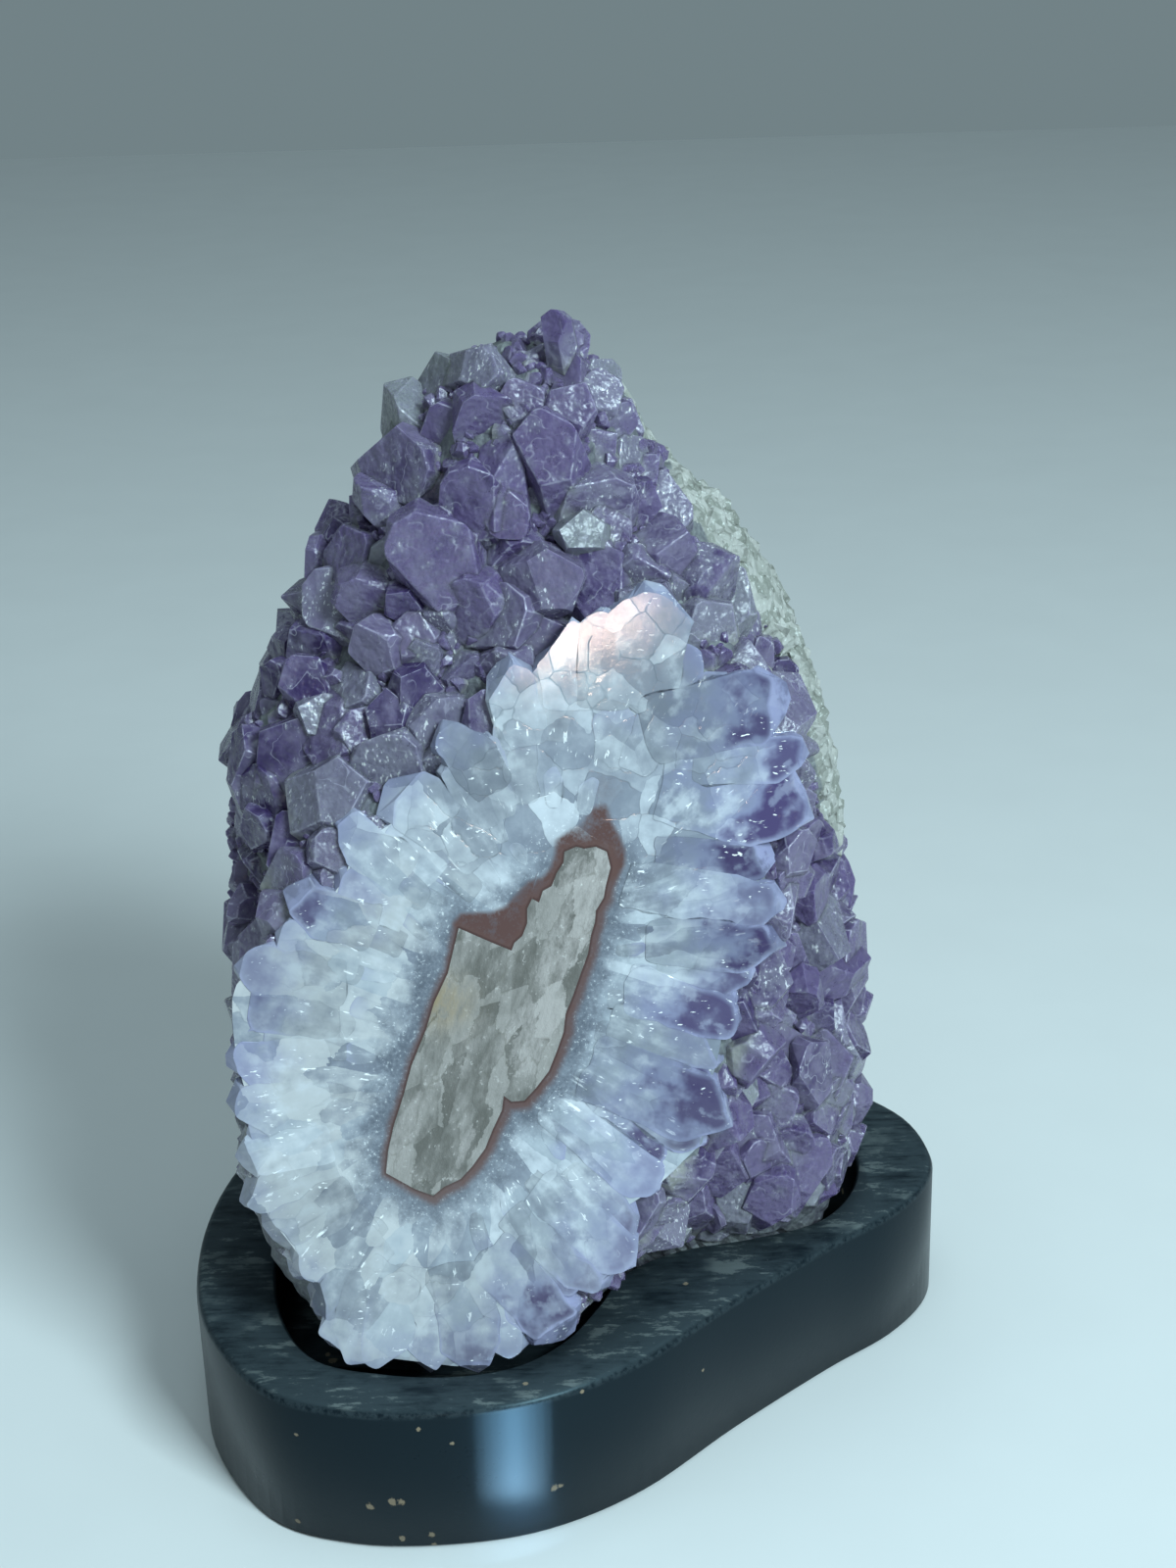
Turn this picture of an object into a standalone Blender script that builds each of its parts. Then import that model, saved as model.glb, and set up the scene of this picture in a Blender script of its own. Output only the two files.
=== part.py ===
"""Amethyst freeform: a druse of amethyst with one cut and polished face, upright in a routed wooden stand.

Metres, +Z up, +X to the viewer's right, +Y away from the viewer. The origin is on the floor, under the
middle of the object's bounding box. Sizes are written in millimetres and turned into metres by MM.
"""

import math
import random

import bmesh
import bpy
import numpy as np
from mathutils import Matrix, Vector

MM = 0.001

# Stand: a slab of wood sawn to a kidney outline, with a pocket routed for the stone
STAND_HEIGHT = 28.0
STAND_TOP_ROUND = 1.3
STAND_FOOT_ROUND = 0.8
POCKET_FLOOR = 14.0
POCKET_EDGE_ROUND = 0.7
OUTLINE_STEPS = 6
# The outline's own points, from the front left corner and anticlockwise seen from above
STAND_OUTLINE = [
    (-53, -49.5), (-38, -56.5), (-21, -57.4), (-5, -54.2), (11, -45), (28, -28.5), (46, -12.5),
    (59, -2), (67, 9), (68.6, 20), (64, 34), (50, 47), (28, 55.5), (2, 57.4), (-24, 54),
    (-46, 45), (-60, 31), (-66.8, 13), (-68.6, -8), (-65, -30),
]
POCKET_OUTLINE = [
    (-44, -42), (-32, -46.5), (-20, -47.6), (-9.5, -45), (-1.5, -38), (3.8, -29), (9, -19),
    (19, -12.5), (33, -9), (45, -4), (52, 6), (54, 18), (50, 31), (37, 41), (17, 46),
    (-8, 46), (-31, 41), (-46, 29), (-53, 10), (-54, -12), (-51, -30),
]

# Stone: its mass is the smooth union of lumps. Each has a centre, half sizes, a power that squares it
# off, and a lean to the right in degrees
LUMPS = [
    ((-5, 15, 66), (51, 28, 66), 2.6, 0),
    ((-9, -20, 88), (40, 36, 72), 2.3, 19),
    ((-6, 12, 126), (37, 24, 46), 2.2, 0),
    ((-33, 10, 104), (24, 24, 38), 2.2, 0),
    ((-4, 14, 158), (21, 18, 31), 2.0, 0),
    ((24, 12, 44), (26, 24, 34), 2.4, 0),
    ((2, 22, 84), (47, 20, 84), 2.2, 0),
]
LUMP_SHARPNESS = 16.0
STONE_HEART = (-3, 2, 88)
STONE_REACH = (5.0, 160.0)
STONE_SUBDIVISIONS = 4

# The polished face leans back, and all of the stone in front of it is cut away
FACE_POINT = (-19, -46, 28)
FACE_LEAN = 14.0
GAP = 0.3

# Crystals: tiers of (how many places are tried, least spacing, half width, height above the mass)
CRYSTAL_SEED = 11
CRYSTAL_TIERS = [
    (900, 12.5, 6.4, 7.5),
    (1500, 9.0, 4.5, 5.8),
    (2400, 7.0, 3.3, 4.6),
]
CRYSTAL_ROOT = 5.0
CRYSTAL_SHOULDER = 0.35
# Crystals that shape the outline: (foot, axis, half width, height)
LEAD_CRYSTALS = [
    ((-3, 12, 184), (0.05, -0.1, 1), 6.0, 11.5),
    ((-15, 10, 179), (-0.45, -0.1, 1), 5.5, 9.0),
    ((8, 11, 179), (0.35, -0.1, 1), 5.0, 9.0),
    ((-55, 4, 116), (-1, -0.3, 0.25), 6.5, 9.0),
    ((-57, 6, 82), (-1, -0.2, 0), 5.5, 8.0),
    ((49, 8, 72), (1, -0.25, 0), 6.0, 8.5),
]
# The matrix at the back is lumpy: the height of its lumps and how far apart they are
LUMP_HEIGHT = 0.9
LUMP_PITCH = 7.0


def clear_scene():
    for obj in list(bpy.data.objects):
        bpy.data.objects.remove(obj, do_unlink=True)


def material(name, colour, roughness, transmission=0.0):
    made = bpy.data.materials.new(name)
    made.use_nodes = True
    shader = made.node_tree.nodes["Principled BSDF"]
    shader.inputs["Base Color"].default_value = (*colour, 1.0)
    shader.inputs["Roughness"].default_value = roughness
    shader.inputs["Metallic"].default_value = 0.0
    shader.inputs["IOR"].default_value = 1.54
    shader.inputs["Transmission Weight"].default_value = transmission
    return made


def new_object(name, bm, made_material=None):
    bmesh.ops.recalc_face_normals(bm, faces=bm.faces)
    bmesh.ops.triangulate(bm, faces=bm.faces)
    mesh = bpy.data.meshes.new(name)
    bm.to_mesh(mesh)
    bm.free()
    obj = bpy.data.objects.new(name, mesh)
    bpy.context.scene.collection.objects.link(obj)
    if made_material:
        mesh.materials.append(made_material)
    return obj


def as_cutter(obj):
    obj.hide_render = True
    obj.display_type = "WIRE"
    return obj


def boolean(obj, other, operation, joins_itself=False):
    modifier = obj.modifiers.new(f"{operation.lower()} {other.name}", "BOOLEAN")
    modifier.operation = operation
    modifier.object = other
    modifier.solver = "EXACT"
    modifier.use_self = joins_itself


def smooth_outline(points, steps):
    """A closed Catmull-Rom curve through the points, with this many steps between two of them."""
    knots = np.array(points, float)
    curve = []
    for i in range(len(knots)):
        before, start, end, after = (knots[(i + k) % len(knots)] for k in (-1, 0, 1, 2))
        for t in np.arange(steps) / steps:
            curve.append(
                0.5 * (2 * start + (end - before) * t
                       + (2 * before - 5 * start + 4 * end - after) * t ** 2
                       + (3 * start - before - 3 * end + after) * t ** 3)
            )
    return np.array(curve)


def inset(outline, distance):
    """The outline moved inwards by a distance, along its own normals."""
    along = np.roll(outline, -1, axis=0) - np.roll(outline, 1, axis=0)
    inward = np.stack([-along[:, 1], along[:, 0]], axis=1)
    inward /= np.linalg.norm(inward, axis=1)[:, None]
    return outline + inward * distance


def prism(bm, outline, profile):
    """Stacks the outline at each (height, inset) of the profile, walls them in and caps both ends."""
    rings = []
    for height, distance in profile:
        points = inset(outline, distance)
        rings.append([bm.verts.new(Vector((x, y, height)) * MM) for x, y in points])
    for lower, upper in zip(rings, rings[1:]):
        for i in range(len(lower)):
            j = (i + 1) % len(lower)
            bm.faces.new((lower[i], lower[j], upper[j], upper[i]))
    bm.faces.new(rings[0][::-1])
    bm.faces.new(rings[-1])


def wood_stand():
    outline = smooth_outline(STAND_OUTLINE, OUTLINE_STEPS)
    bm = bmesh.new()
    prism(bm, outline, [
        (0.0, STAND_FOOT_ROUND),
        (STAND_FOOT_ROUND, 0.0),
        (STAND_HEIGHT - STAND_TOP_ROUND, 0.0),
        (STAND_HEIGHT - STAND_TOP_ROUND * 0.3, STAND_TOP_ROUND * 0.3),
        (STAND_HEIGHT, STAND_TOP_ROUND),
    ])
    stand = new_object("wood_stand", bm, material("black paint", (0.012, 0.014, 0.018), 0.32))
    pocket = bmesh.new()
    prism(pocket, smooth_outline(POCKET_OUTLINE, OUTLINE_STEPS), [
        (POCKET_FLOOR, 0.0),
        (STAND_HEIGHT - POCKET_EDGE_ROUND, 0.0),
        (STAND_HEIGHT + 2 * POCKET_EDGE_ROUND, -3 * POCKET_EDGE_ROUND),
    ])
    boolean(stand, as_cutter(new_object("pocket_cutter", pocket)), "DIFFERENCE")
    return stand


def depth_inside(points):
    """Above zero inside the stone's mass, and below zero outside it."""
    total = np.zeros(len(points))
    for centre, half_sizes, power, lean in LUMPS:
        away = points - np.array(centre, float)
        cos, sin = math.cos(math.radians(lean)), math.sin(math.radians(lean))
        across = away[:, 0] * cos - away[:, 2] * sin
        upward = away[:, 0] * sin + away[:, 2] * cos
        scaled = np.abs(np.stack([across, away[:, 1], upward], axis=1) / np.array(half_sizes, float))
        reach = (scaled ** power).sum(axis=1) ** (1 / power)
        total += np.exp(LUMP_SHARPNESS * (1 - reach))
    return np.log(total) / LUMP_SHARPNESS


def surface_points(directions):
    """Where rays from the stone's heart leave its mass, found by halving."""
    heart = np.array(STONE_HEART, float)
    near = np.full(len(directions), STONE_REACH[0])
    far = np.full(len(directions), STONE_REACH[1])
    for _ in range(32):
        middle = (near + far) / 2
        inside = depth_inside(heart + directions * middle[:, None]) > 0
        near = np.where(inside, middle, near)
        far = np.where(inside, far, middle)
    return heart + directions * near[:, None]


def surface_normals(points):
    step = 0.5
    slope = np.zeros_like(points)
    for axis in range(3):
        shift = np.zeros(3)
        shift[axis] = step
        slope[:, axis] = depth_inside(points - shift) - depth_inside(points + shift)
    return slope / np.linalg.norm(slope, axis=1)[:, None]


def face_normal():
    lean = math.radians(FACE_LEAN)
    return np.array([0.0, -math.cos(lean), math.sin(lean)])


def in_front_of_face(points):
    return (points - np.array(FACE_POINT, float)) @ face_normal()


def lumpy(points):
    """The points moved in and out a little, as the broken matrix and the druse's floor are uneven."""
    x, y, z = (points / LUMP_PITCH).T
    wave = np.sin(x + 1.7 * np.sin(z)) * np.sin(z + 1.3 * np.sin(y)) + 0.5 * np.sin(2.3 * x + 1.9 * z)
    return points + surface_normals(points) * (LUMP_HEIGHT * wave)[:, None]


def even_directions(count):
    """Directions spread evenly over a sphere, on a golden-angle spiral."""
    index = np.arange(count) + 0.5
    polar = np.arccos(1 - 2 * index / count)
    turn = math.pi * (1 + math.sqrt(5)) * index
    return np.stack([np.cos(turn) * np.sin(polar), np.sin(turn) * np.sin(polar), np.cos(polar)], axis=1)


def bears_crystals(point, normal):
    """The druse covers the front, the left side and the top. The back and the upper right edge are matrix."""
    if point[2] < STAND_HEIGHT + 5 or normal[2] < -0.75:
        return False
    if point[0] > 0 and point[2] > 92:
        return normal[1] < -0.1
    return normal[1] < 0.45


def crystal_places():
    """(point, axis, half width, height) of each crystal, the large ones first and smaller ones between."""
    dice = random.Random(CRYSTAL_SEED)
    placed = [
        (np.array(foot, float), np.array(axis, float), half_width, height, 2 * half_width)
        for foot, axis, half_width, height in LEAD_CRYSTALS
    ]
    for tries, spacing, half_width, height in CRYSTAL_TIERS:
        points = surface_points(even_directions(tries))
        normals = surface_normals(points)
        order = list(range(tries))
        dice.shuffle(order)
        for i in order:
            point, normal = points[i], normals[i]
            over = in_front_of_face(point[None])[0]
            if over > 0.6 * half_width or not bears_crystals(point, normal):
                continue
            if any(np.linalg.norm(point - other[0]) < (spacing + other[4]) / 2 for other in placed):
                continue
            size = dice.uniform(0.85, 1.15)
            lean = np.array([dice.gauss(0, 0.16) for _ in range(3)])
            outward = normal + lean + np.array([0, 0, 0.12])
            outward /= np.linalg.norm(outward)
            placed.append((point, outward, half_width * size, height * dice.uniform(0.8, 1.15), spacing))
    return placed


def add_crystal(bm, point, axis, half_width, height, turn):
    """A stubby six-sided column with a six-sided point, its root sunk in the mass."""
    frame = Vector(axis).to_track_quat("Z", "Y").to_matrix() @ Matrix.Rotation(turn, 3, "Z")
    sides = 6
    levels = [(-CRYSTAL_ROOT, 0.8), (height * CRYSTAL_SHOULDER, 1.0)]
    rings = []
    for level, share in levels:
        ring = []
        for k in range(sides):
            angle = 2 * math.pi * k / sides
            radius = half_width * share * (1.06 if k % 2 else 0.94)
            local = Vector((radius * math.cos(angle), radius * math.sin(angle), level))
            ring.append(bm.verts.new((Vector(point) + frame @ local) * MM))
        rings.append(ring)
    tip = bm.verts.new((Vector(point) + frame @ Vector((0.1 * half_width, 0, height))) * MM)
    for k in range(sides):
        j = (k + 1) % sides
        bm.faces.new((rings[0][k], rings[0][j], rings[1][j], rings[1][k]))
        bm.faces.new((rings[1][k], rings[1][j], tip))
    bm.faces.new(rings[0][::-1])


def stone_crystals():
    dice = random.Random(CRYSTAL_SEED + 1)
    bm = bmesh.new()
    places = crystal_places()
    for point, axis, half_width, height, _ in places:
        add_crystal(bm, point, axis, half_width, height, dice.uniform(0, 1))
    print(f"{len(places)} crystals")
    return as_cutter(new_object("crystals_tool", bm))


def saw_block():
    """All that lies in front of the polished face."""
    bm = bmesh.new()
    size = 320 * MM
    bmesh.ops.create_cube(bm, size=size)
    tilt = Matrix.Rotation(-math.radians(FACE_LEAN), 4, "X")
    centre = Vector(FACE_POINT) * MM + Vector(face_normal()) * (size / 2)
    bmesh.ops.transform(bm, matrix=Matrix.Translation(centre) @ tilt, verts=bm.verts)
    return as_cutter(new_object("saw_cutter", bm))


def bed_block():
    """The stand's own space and a little more, which the stone's foot stays clear of."""
    margin = 60.0
    outer = inset(smooth_outline(STAND_OUTLINE, OUTLINE_STEPS), -margin)
    bm = bmesh.new()
    prism(bm, outer, [(-margin, 0), (STAND_HEIGHT + GAP, 0)])
    bed = as_cutter(new_object("bed_cutter", bm))
    hollow = bmesh.new()
    prism(hollow, smooth_outline(POCKET_OUTLINE, OUTLINE_STEPS), [
        (POCKET_FLOOR + GAP, 5.0),
        (STAND_HEIGHT - 4, 2.0),
        (STAND_HEIGHT + 3, 0.8),
    ])
    boolean(bed, as_cutter(new_object("bed_hollow_cutter", hollow)), "DIFFERENCE")
    return bed


def amethyst_cluster():
    bm = bmesh.new()
    bmesh.ops.create_icosphere(bm, subdivisions=STONE_SUBDIVISIONS, radius=1)
    directions = np.array([vert.co.normalized() for vert in bm.verts])
    for vert, point in zip(bm.verts, lumpy(surface_points(directions))):
        vert.co = Vector(point) * MM
    stone = new_object("amethyst_cluster", bm, material("amethyst", (0.22, 0.17, 0.34), 0.25, 0.5))
    boolean(stone, stone_crystals(), "UNION", joins_itself=True)
    boolean(stone, saw_block(), "DIFFERENCE")
    boolean(stone, bed_block(), "DIFFERENCE")
    return stone


def main():
    clear_scene()
    wood_stand()
    amethyst_cluster()


main()
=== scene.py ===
# %% [markdown]
# This lesson builds an upright freeform of amethyst in Blender: a druse of purple crystals, one sawn and
# polished face with radiating quartz around a calcite core, a matrix at the back, and a black wooden stand.
# The solids of the stone and the stand come from the frame. Here the stone gets its fine shape, and both
# get their finish. Sizes are in millimetres, and MM turns them into metres.

# %% Load the frame
import math
import random

import bmesh
import bpy
import numpy as np
from mathutils import Matrix, Vector, noise


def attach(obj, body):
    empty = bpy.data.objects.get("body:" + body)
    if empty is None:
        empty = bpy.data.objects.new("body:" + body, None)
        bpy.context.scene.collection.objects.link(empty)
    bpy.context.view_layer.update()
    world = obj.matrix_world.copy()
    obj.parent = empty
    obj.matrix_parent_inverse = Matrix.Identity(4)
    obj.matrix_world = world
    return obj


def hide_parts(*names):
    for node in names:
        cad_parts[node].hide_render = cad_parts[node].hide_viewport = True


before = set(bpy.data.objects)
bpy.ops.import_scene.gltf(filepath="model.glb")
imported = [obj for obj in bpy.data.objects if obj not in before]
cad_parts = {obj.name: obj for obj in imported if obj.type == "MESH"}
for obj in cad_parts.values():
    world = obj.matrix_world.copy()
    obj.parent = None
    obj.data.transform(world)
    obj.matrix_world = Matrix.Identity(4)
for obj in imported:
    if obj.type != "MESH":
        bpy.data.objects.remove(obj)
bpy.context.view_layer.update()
MM = 0.001
SEED = 5

# %% [markdown]
# The camera comes first, because some crystals are placed by where the photograph shows them. Its pitch and
# height follow from how upright lines lean in the photograph, and from the stand's upper and lower edges. A
# pixel of the photograph becomes a line of sight, which later meets the polished face or the stone's side.

# %% Camera
PHOTO_SIZE = (1200, 1600)
FOCAL_PIXELS = 2500.0
CAMERA_PLACE = (4.8, -387.0, 279.7)
CAMERA_PITCH = 23.1
CAMERA_ROLL = -1.62
SENSOR = 36.0


def make_camera():
    data = bpy.data.cameras.new("camera")
    data.sensor_width = SENSOR
    data.lens = FOCAL_PIXELS / max(PHOTO_SIZE) * SENSOR
    data.clip_start = 0.01
    camera = bpy.data.objects.new("camera", data)
    bpy.context.scene.collection.objects.link(camera)
    camera.location = Vector(CAMERA_PLACE) * MM
    turn = Matrix.Rotation(math.radians(90 - CAMERA_PITCH), 3, "X") @ Matrix.Rotation(math.radians(CAMERA_ROLL), 3, "Z")
    camera.rotation_euler = turn.to_euler()
    bpy.context.scene.camera = camera
    return np.array(turn)


CAMERA_AXES = make_camera()


def sight(pixels):
    """Directions of the lines of sight through these pixels, as unit rows."""
    middle = np.array(PHOTO_SIZE) / 2
    across = (np.atleast_2d(np.array(pixels, float)) - middle) / FOCAL_PIXELS
    local = np.stack([across[:, 0], -across[:, 1], -np.ones(len(across))], axis=1)
    world = local @ CAMERA_AXES.T
    return world / np.linalg.norm(world, axis=1)[:, None]


def pixel_of(points):
    """Where the camera sees these points, in pixels of the photograph."""
    local = (points - np.array(CAMERA_PLACE)) @ CAMERA_AXES
    across = local[:, :2] / -local[:, 2:]
    return np.stack([across[:, 0], -across[:, 1]], axis=1) * FOCAL_PIXELS + np.array(PHOTO_SIZE) / 2


# %% [markdown]
# The polished face is a plane that leans back. Points on it are written in its own two axes, from the middle
# of the calcite core, so that the core, its rim and the radiating crystals share one pair of coordinates.

# %% The polished plane
FACE_LEAN = math.radians(14.0)
FACE_POINT = np.array([-19.0, -46.0, 28.0])
FACE_RIGHT = np.array([1.0, 0.0, 0.0])
FACE_UP = np.array([0.0, math.sin(FACE_LEAN), math.cos(FACE_LEAN)])
FACE_OUT = np.array([0.0, -math.cos(FACE_LEAN), math.sin(FACE_LEAN)])
CORE_MIDDLE_PIXEL = (520, 1035)
STAND_TOP = 28.0
GAP = 0.4


def on_face(pixels):
    """The points of the polished plane that the camera sees at these pixels."""
    rays = sight(pixels)
    camera = np.array(CAMERA_PLACE)
    reach = ((FACE_POINT - camera) @ FACE_OUT) / (rays @ FACE_OUT)
    return camera + rays * reach[:, None]


CORE_MIDDLE = on_face([CORE_MIDDLE_PIXEL])[0]


def to_face(points):
    away = points - CORE_MIDDLE
    return np.stack([away @ FACE_RIGHT, away @ FACE_UP, away @ FACE_OUT], axis=-1)


def from_face(across, upward, outward=0.0):
    across, upward = np.asarray(across, float), np.asarray(upward, float)
    outward = np.broadcast_to(np.asarray(outward, float), across.shape)
    return CORE_MIDDLE + across[..., None] * FACE_RIGHT + upward[..., None] * FACE_UP + outward[..., None] * FACE_OUT


# %% [markdown]
# The saw only took a slice: the polished face ends well inside the stone's outline, and its border is made
# of crystal tips. The border is kept as a distance from the core's middle for every angle.

# %% Border of the polished face
FACE_BORDER = [
    (240, 1065), (236, 1090), (245, 1160), (242, 1200), (262, 1235), (275, 1262), (290, 1285), (297, 1325),
    (317, 1330), (335, 1370), (350, 1388), (375, 1378), (390, 1390), (430, 1397), (455, 1400), (530, 1398),
    (535, 1380), (583, 1355), (583, 1325), (620, 1310), (637, 1298), (640, 1290), (670, 1210), (735, 1165),
    (740, 1150), (728, 1095), (745, 1060), (735, 1015), (770, 1000), (790, 970), (793, 935), (785, 900),
    (775, 880), (800, 850), (822, 815), (805, 780), (780, 755), (797, 735), (795, 705), (770, 685), (740, 678),
    (700, 690), (697, 650), (690, 620), (660, 608), (620, 625), (590, 640), (560, 655), (530, 668), (535, 700),
    (500, 730), (470, 745), (445, 790), (435, 820), (400, 840), (370, 850), (340, 880), (330, 930), (300, 940),
    (285, 950), (250, 960), (240, 980), (237, 1010), (228, 1030),
]
BORDER_STEPS = 360
BORDER_NOTCH = 9


def border_radii():
    """The border's distance from the core's middle for each angle, taken along its notches."""
    corners = to_face(on_face(FACE_BORDER))[:, :2]
    following = np.roll(corners, -1, axis=0)
    edges = following - corners
    radii = []
    for step in range(BORDER_STEPS):
        angle = 2 * math.pi * step / BORDER_STEPS - math.pi
        ray = np.array([math.cos(angle), math.sin(angle)])
        cross = ray[0] * edges[:, 1] - ray[1] * edges[:, 0]
        cross = np.where(np.abs(cross) < 1e-9, 1e-9, cross)
        reach = (corners[:, 0] * edges[:, 1] - corners[:, 1] * edges[:, 0]) / cross
        share = (corners[:, 0] * ray[1] - corners[:, 1] * ray[0]) / cross
        hits = reach[(share >= 0) & (share <= 1) & (reach > 0)]
        radii.append(hits.max())
    radii = np.array(radii)
    near = np.stack([np.roll(radii, shift) for shift in range(-BORDER_NOTCH, BORDER_NOTCH + 1)])
    return radii, near.min(axis=0)


TIP_RADII, PLATE_RADII = border_radii()


def border_at(angles, radii):
    steps = (np.asarray(angles) + math.pi) / (2 * math.pi) * BORDER_STEPS
    return np.interp(steps, np.arange(BORDER_STEPS + 1), np.append(radii, radii[0]))


def beyond_border(points):
    """How far outside the plate's border each point is, and its angle round the core."""
    flat = to_face(points)
    angles = np.arctan2(flat[:, 1], flat[:, 0])
    return np.hypot(flat[:, 0], flat[:, 1]) - border_at(angles, PLATE_RADII), angles


print("polished face, mm from the core's middle:", PLATE_RADII.min().round(1), "to", TIP_RADII.max().round(1))

# %% [markdown]
# The stone's outline in the photograph tells how far its crystals may reach. A crystal that would be seen
# outside it is later moved inwards by its overshoot.

# %% Outline of the stone
STONE_OUTLINE = [
    (565, 316), (590, 330), (608, 345), (636, 372), (638, 390), (650, 437), (672, 437), (684, 451), (718, 478),
    (738, 532), (759, 537), (782, 583), (803, 637), (826, 701), (843, 738), (857, 789), (863, 839), (870, 900),
    (877, 927), (888, 964), (891, 1043), (885, 1062), (892, 1135), (869, 1181), (851, 1218), (820, 1238),
    (770, 1256), (716, 1267), (637, 1279), (583, 1355), (530, 1390), (455, 1395), (390, 1385), (350, 1380),
    (317, 1328), (290, 1285), (262, 1235), (244, 1200), (245, 1160), (238, 1100), (240, 1065), (228, 1058),
    (218, 1020), (225, 950), (240, 885), (243, 820), (222, 765), (232, 730), (270, 690), (262, 655), (300, 580),
    (320, 530), (332, 465), (362, 428), (388, 398), (420, 372), (440, 357), (480, 358), (495, 347), (528, 370),
    (545, 330),
]
PIXEL_DEPTH = 415.0
OUTLINE_PLAY = 3.0
OUTLINE_SLACK = 0.5


def nearest_on_line(points, corners):
    """For each point, the nearest place on the closed line through the corners, and whether it is inside."""
    ahead = np.roll(corners, -1, axis=0) - corners
    away = points[:, None] - corners[None]
    share = np.clip((away * ahead).sum(axis=2) / np.maximum((ahead ** 2).sum(axis=1), 1e-9), 0, 1)
    places = corners[None] + share[..., None] * ahead
    best = np.linalg.norm(points[:, None] - places, axis=2).argmin(axis=1)
    ends = corners + ahead
    crosses = (corners[:, 1] > points[:, 1, None]) != (ends[:, 1] > points[:, 1, None])
    slope = ahead[:, 0] / np.where(ahead[:, 1] == 0, 1e-9, ahead[:, 1])
    left = points[:, 0, None] < corners[:, 0] + (points[:, 1, None] - corners[:, 1]) * slope
    return places[np.arange(len(points)), best], (crosses & left).sum(axis=1) % 2 == 1


def into_outline(points):
    """The move within the polished plane that brings these points inside the stone's outline."""
    move = np.zeros(3)
    outline = np.array(STONE_OUTLINE, float)
    for _ in range(3):
        seen = pixel_of(points + move)
        places, inside = nearest_on_line(seen, outline)
        over = np.where(inside, 0.0, np.linalg.norm(places - seen, axis=1))
        worst = int(over.argmax())
        if over[worst] <= OUTLINE_PLAY:
            break
        share = 1 - OUTLINE_PLAY / over[worst]
        across, down = (places[worst] - seen[worst]) * share * PIXEL_DEPTH / FOCAL_PIXELS
        step = CAMERA_AXES[:, 0] * across - CAMERA_AXES[:, 1] * down
        move = move + step - FACE_OUT * (step @ FACE_OUT)
    return move


# %% [markdown]
# The calcite core has an outline with two notches. How far a point lies outside it drives the brown rim
# and the change from sugary grains to long crystals.

# %% Outline of the calcite core
CORE_BORDER = [
    (468, 947), (500, 961), (522, 970), (525, 962), (533, 955), (538, 942), (538, 927), (543, 917), (550, 921),
    (554, 909), (563, 904), (568, 891), (575, 880), (576, 869), (588, 864), (596, 866), (608, 864), (619, 869),
    (623, 885), (618, 904), (616, 916), (608, 929), (607, 941), (603, 954), (600, 973), (593, 992), (585, 1015),
    (577, 1035), (575, 1053), (568, 1073), (560, 1093), (547, 1110), (535, 1123), (522, 1124), (514, 1118),
    (512, 1133), (503, 1152), (495, 1172), (482, 1190), (470, 1203), (453, 1211), (442, 1220), (423, 1213),
    (394, 1197), (396, 1175), (402, 1148), (412, 1117), (420, 1087), (435, 1050), (443, 1023), (457, 993),
]
BROWN_BORDER = [
    (466, 943), (472, 936), (488, 935), (502, 935), (519, 928), (526, 919), (541, 903), (556, 899), (565, 888),
    (570, 872), (571, 860), (582, 852), (596, 845), (607, 828), (616, 825), (621, 842), (629, 856), (634, 868),
    (634, 880), (626, 895), (612, 900), (600, 880), (560, 935), (530, 980), (500, 972), (478, 958),
]
CORE_FLAT = to_face(on_face(CORE_BORDER))[:, :2]
BROWN_FLAT = to_face(on_face(BROWN_BORDER))[:, :2]
CORE_AXIS_PIXELS = ((448, 1180), (598, 880))
CORE_ENDS = to_face(on_face(CORE_AXIS_PIXELS))[:, :2]
CORE_HALF = float(np.linalg.norm(CORE_ENDS[1] - CORE_ENDS[0])) / 2
CORE_TILT = math.atan2(CORE_ENDS[1][0] - CORE_ENDS[0][0], CORE_ENDS[1][1] - CORE_ENDS[0][1])


def distance_to_core(flat, outline=CORE_FLAT):
    """How far outside the core's outline each point of the plane is, and 0 inside it."""
    nearest = np.full(len(flat), 1e9)
    inside = np.zeros(len(flat), bool)
    for start, end in zip(outline, np.roll(outline, -1, axis=0)):
        edge = end - start
        share = np.clip(((flat - start) @ edge) / (edge @ edge), 0, 1)
        nearest = np.minimum(nearest, np.linalg.norm(flat - start - share[:, None] * edge, axis=1))
        crosses = (start[1] > flat[:, 1]) != (end[1] > flat[:, 1])
        slope = edge[0] / (edge[1] if edge[1] else 1e-9)
        inside ^= crosses & (flat[:, 0] < start[0] + (flat[:, 1] - start[1]) * slope)
    return np.where(inside, 0.0, nearest)


def growth_direction(flat):
    """Unit rows that lead away from the core's axis, the way the quartz grew."""
    total = np.zeros_like(flat)
    for end in CORE_ENDS:
        way = flat - end
        total += way / np.maximum(np.linalg.norm(way, axis=-1, keepdims=True), 1e-6)
    return total / np.maximum(np.linalg.norm(total, axis=-1, keepdims=True), 1e-6)


# %% [markdown]
# The stone's mass is a smooth union of lumps, the same as the solid in the frame. A point is inside where
# the field is above zero. Round the polished face the mass slopes back like a shoulder, so that natural
# crystals can stand there. Every ray from the heart leaves the mass once, so halving finds the surface.
# This way needs no boolean, and it gives a normal anywhere, which the crystals need to stand on.

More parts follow.
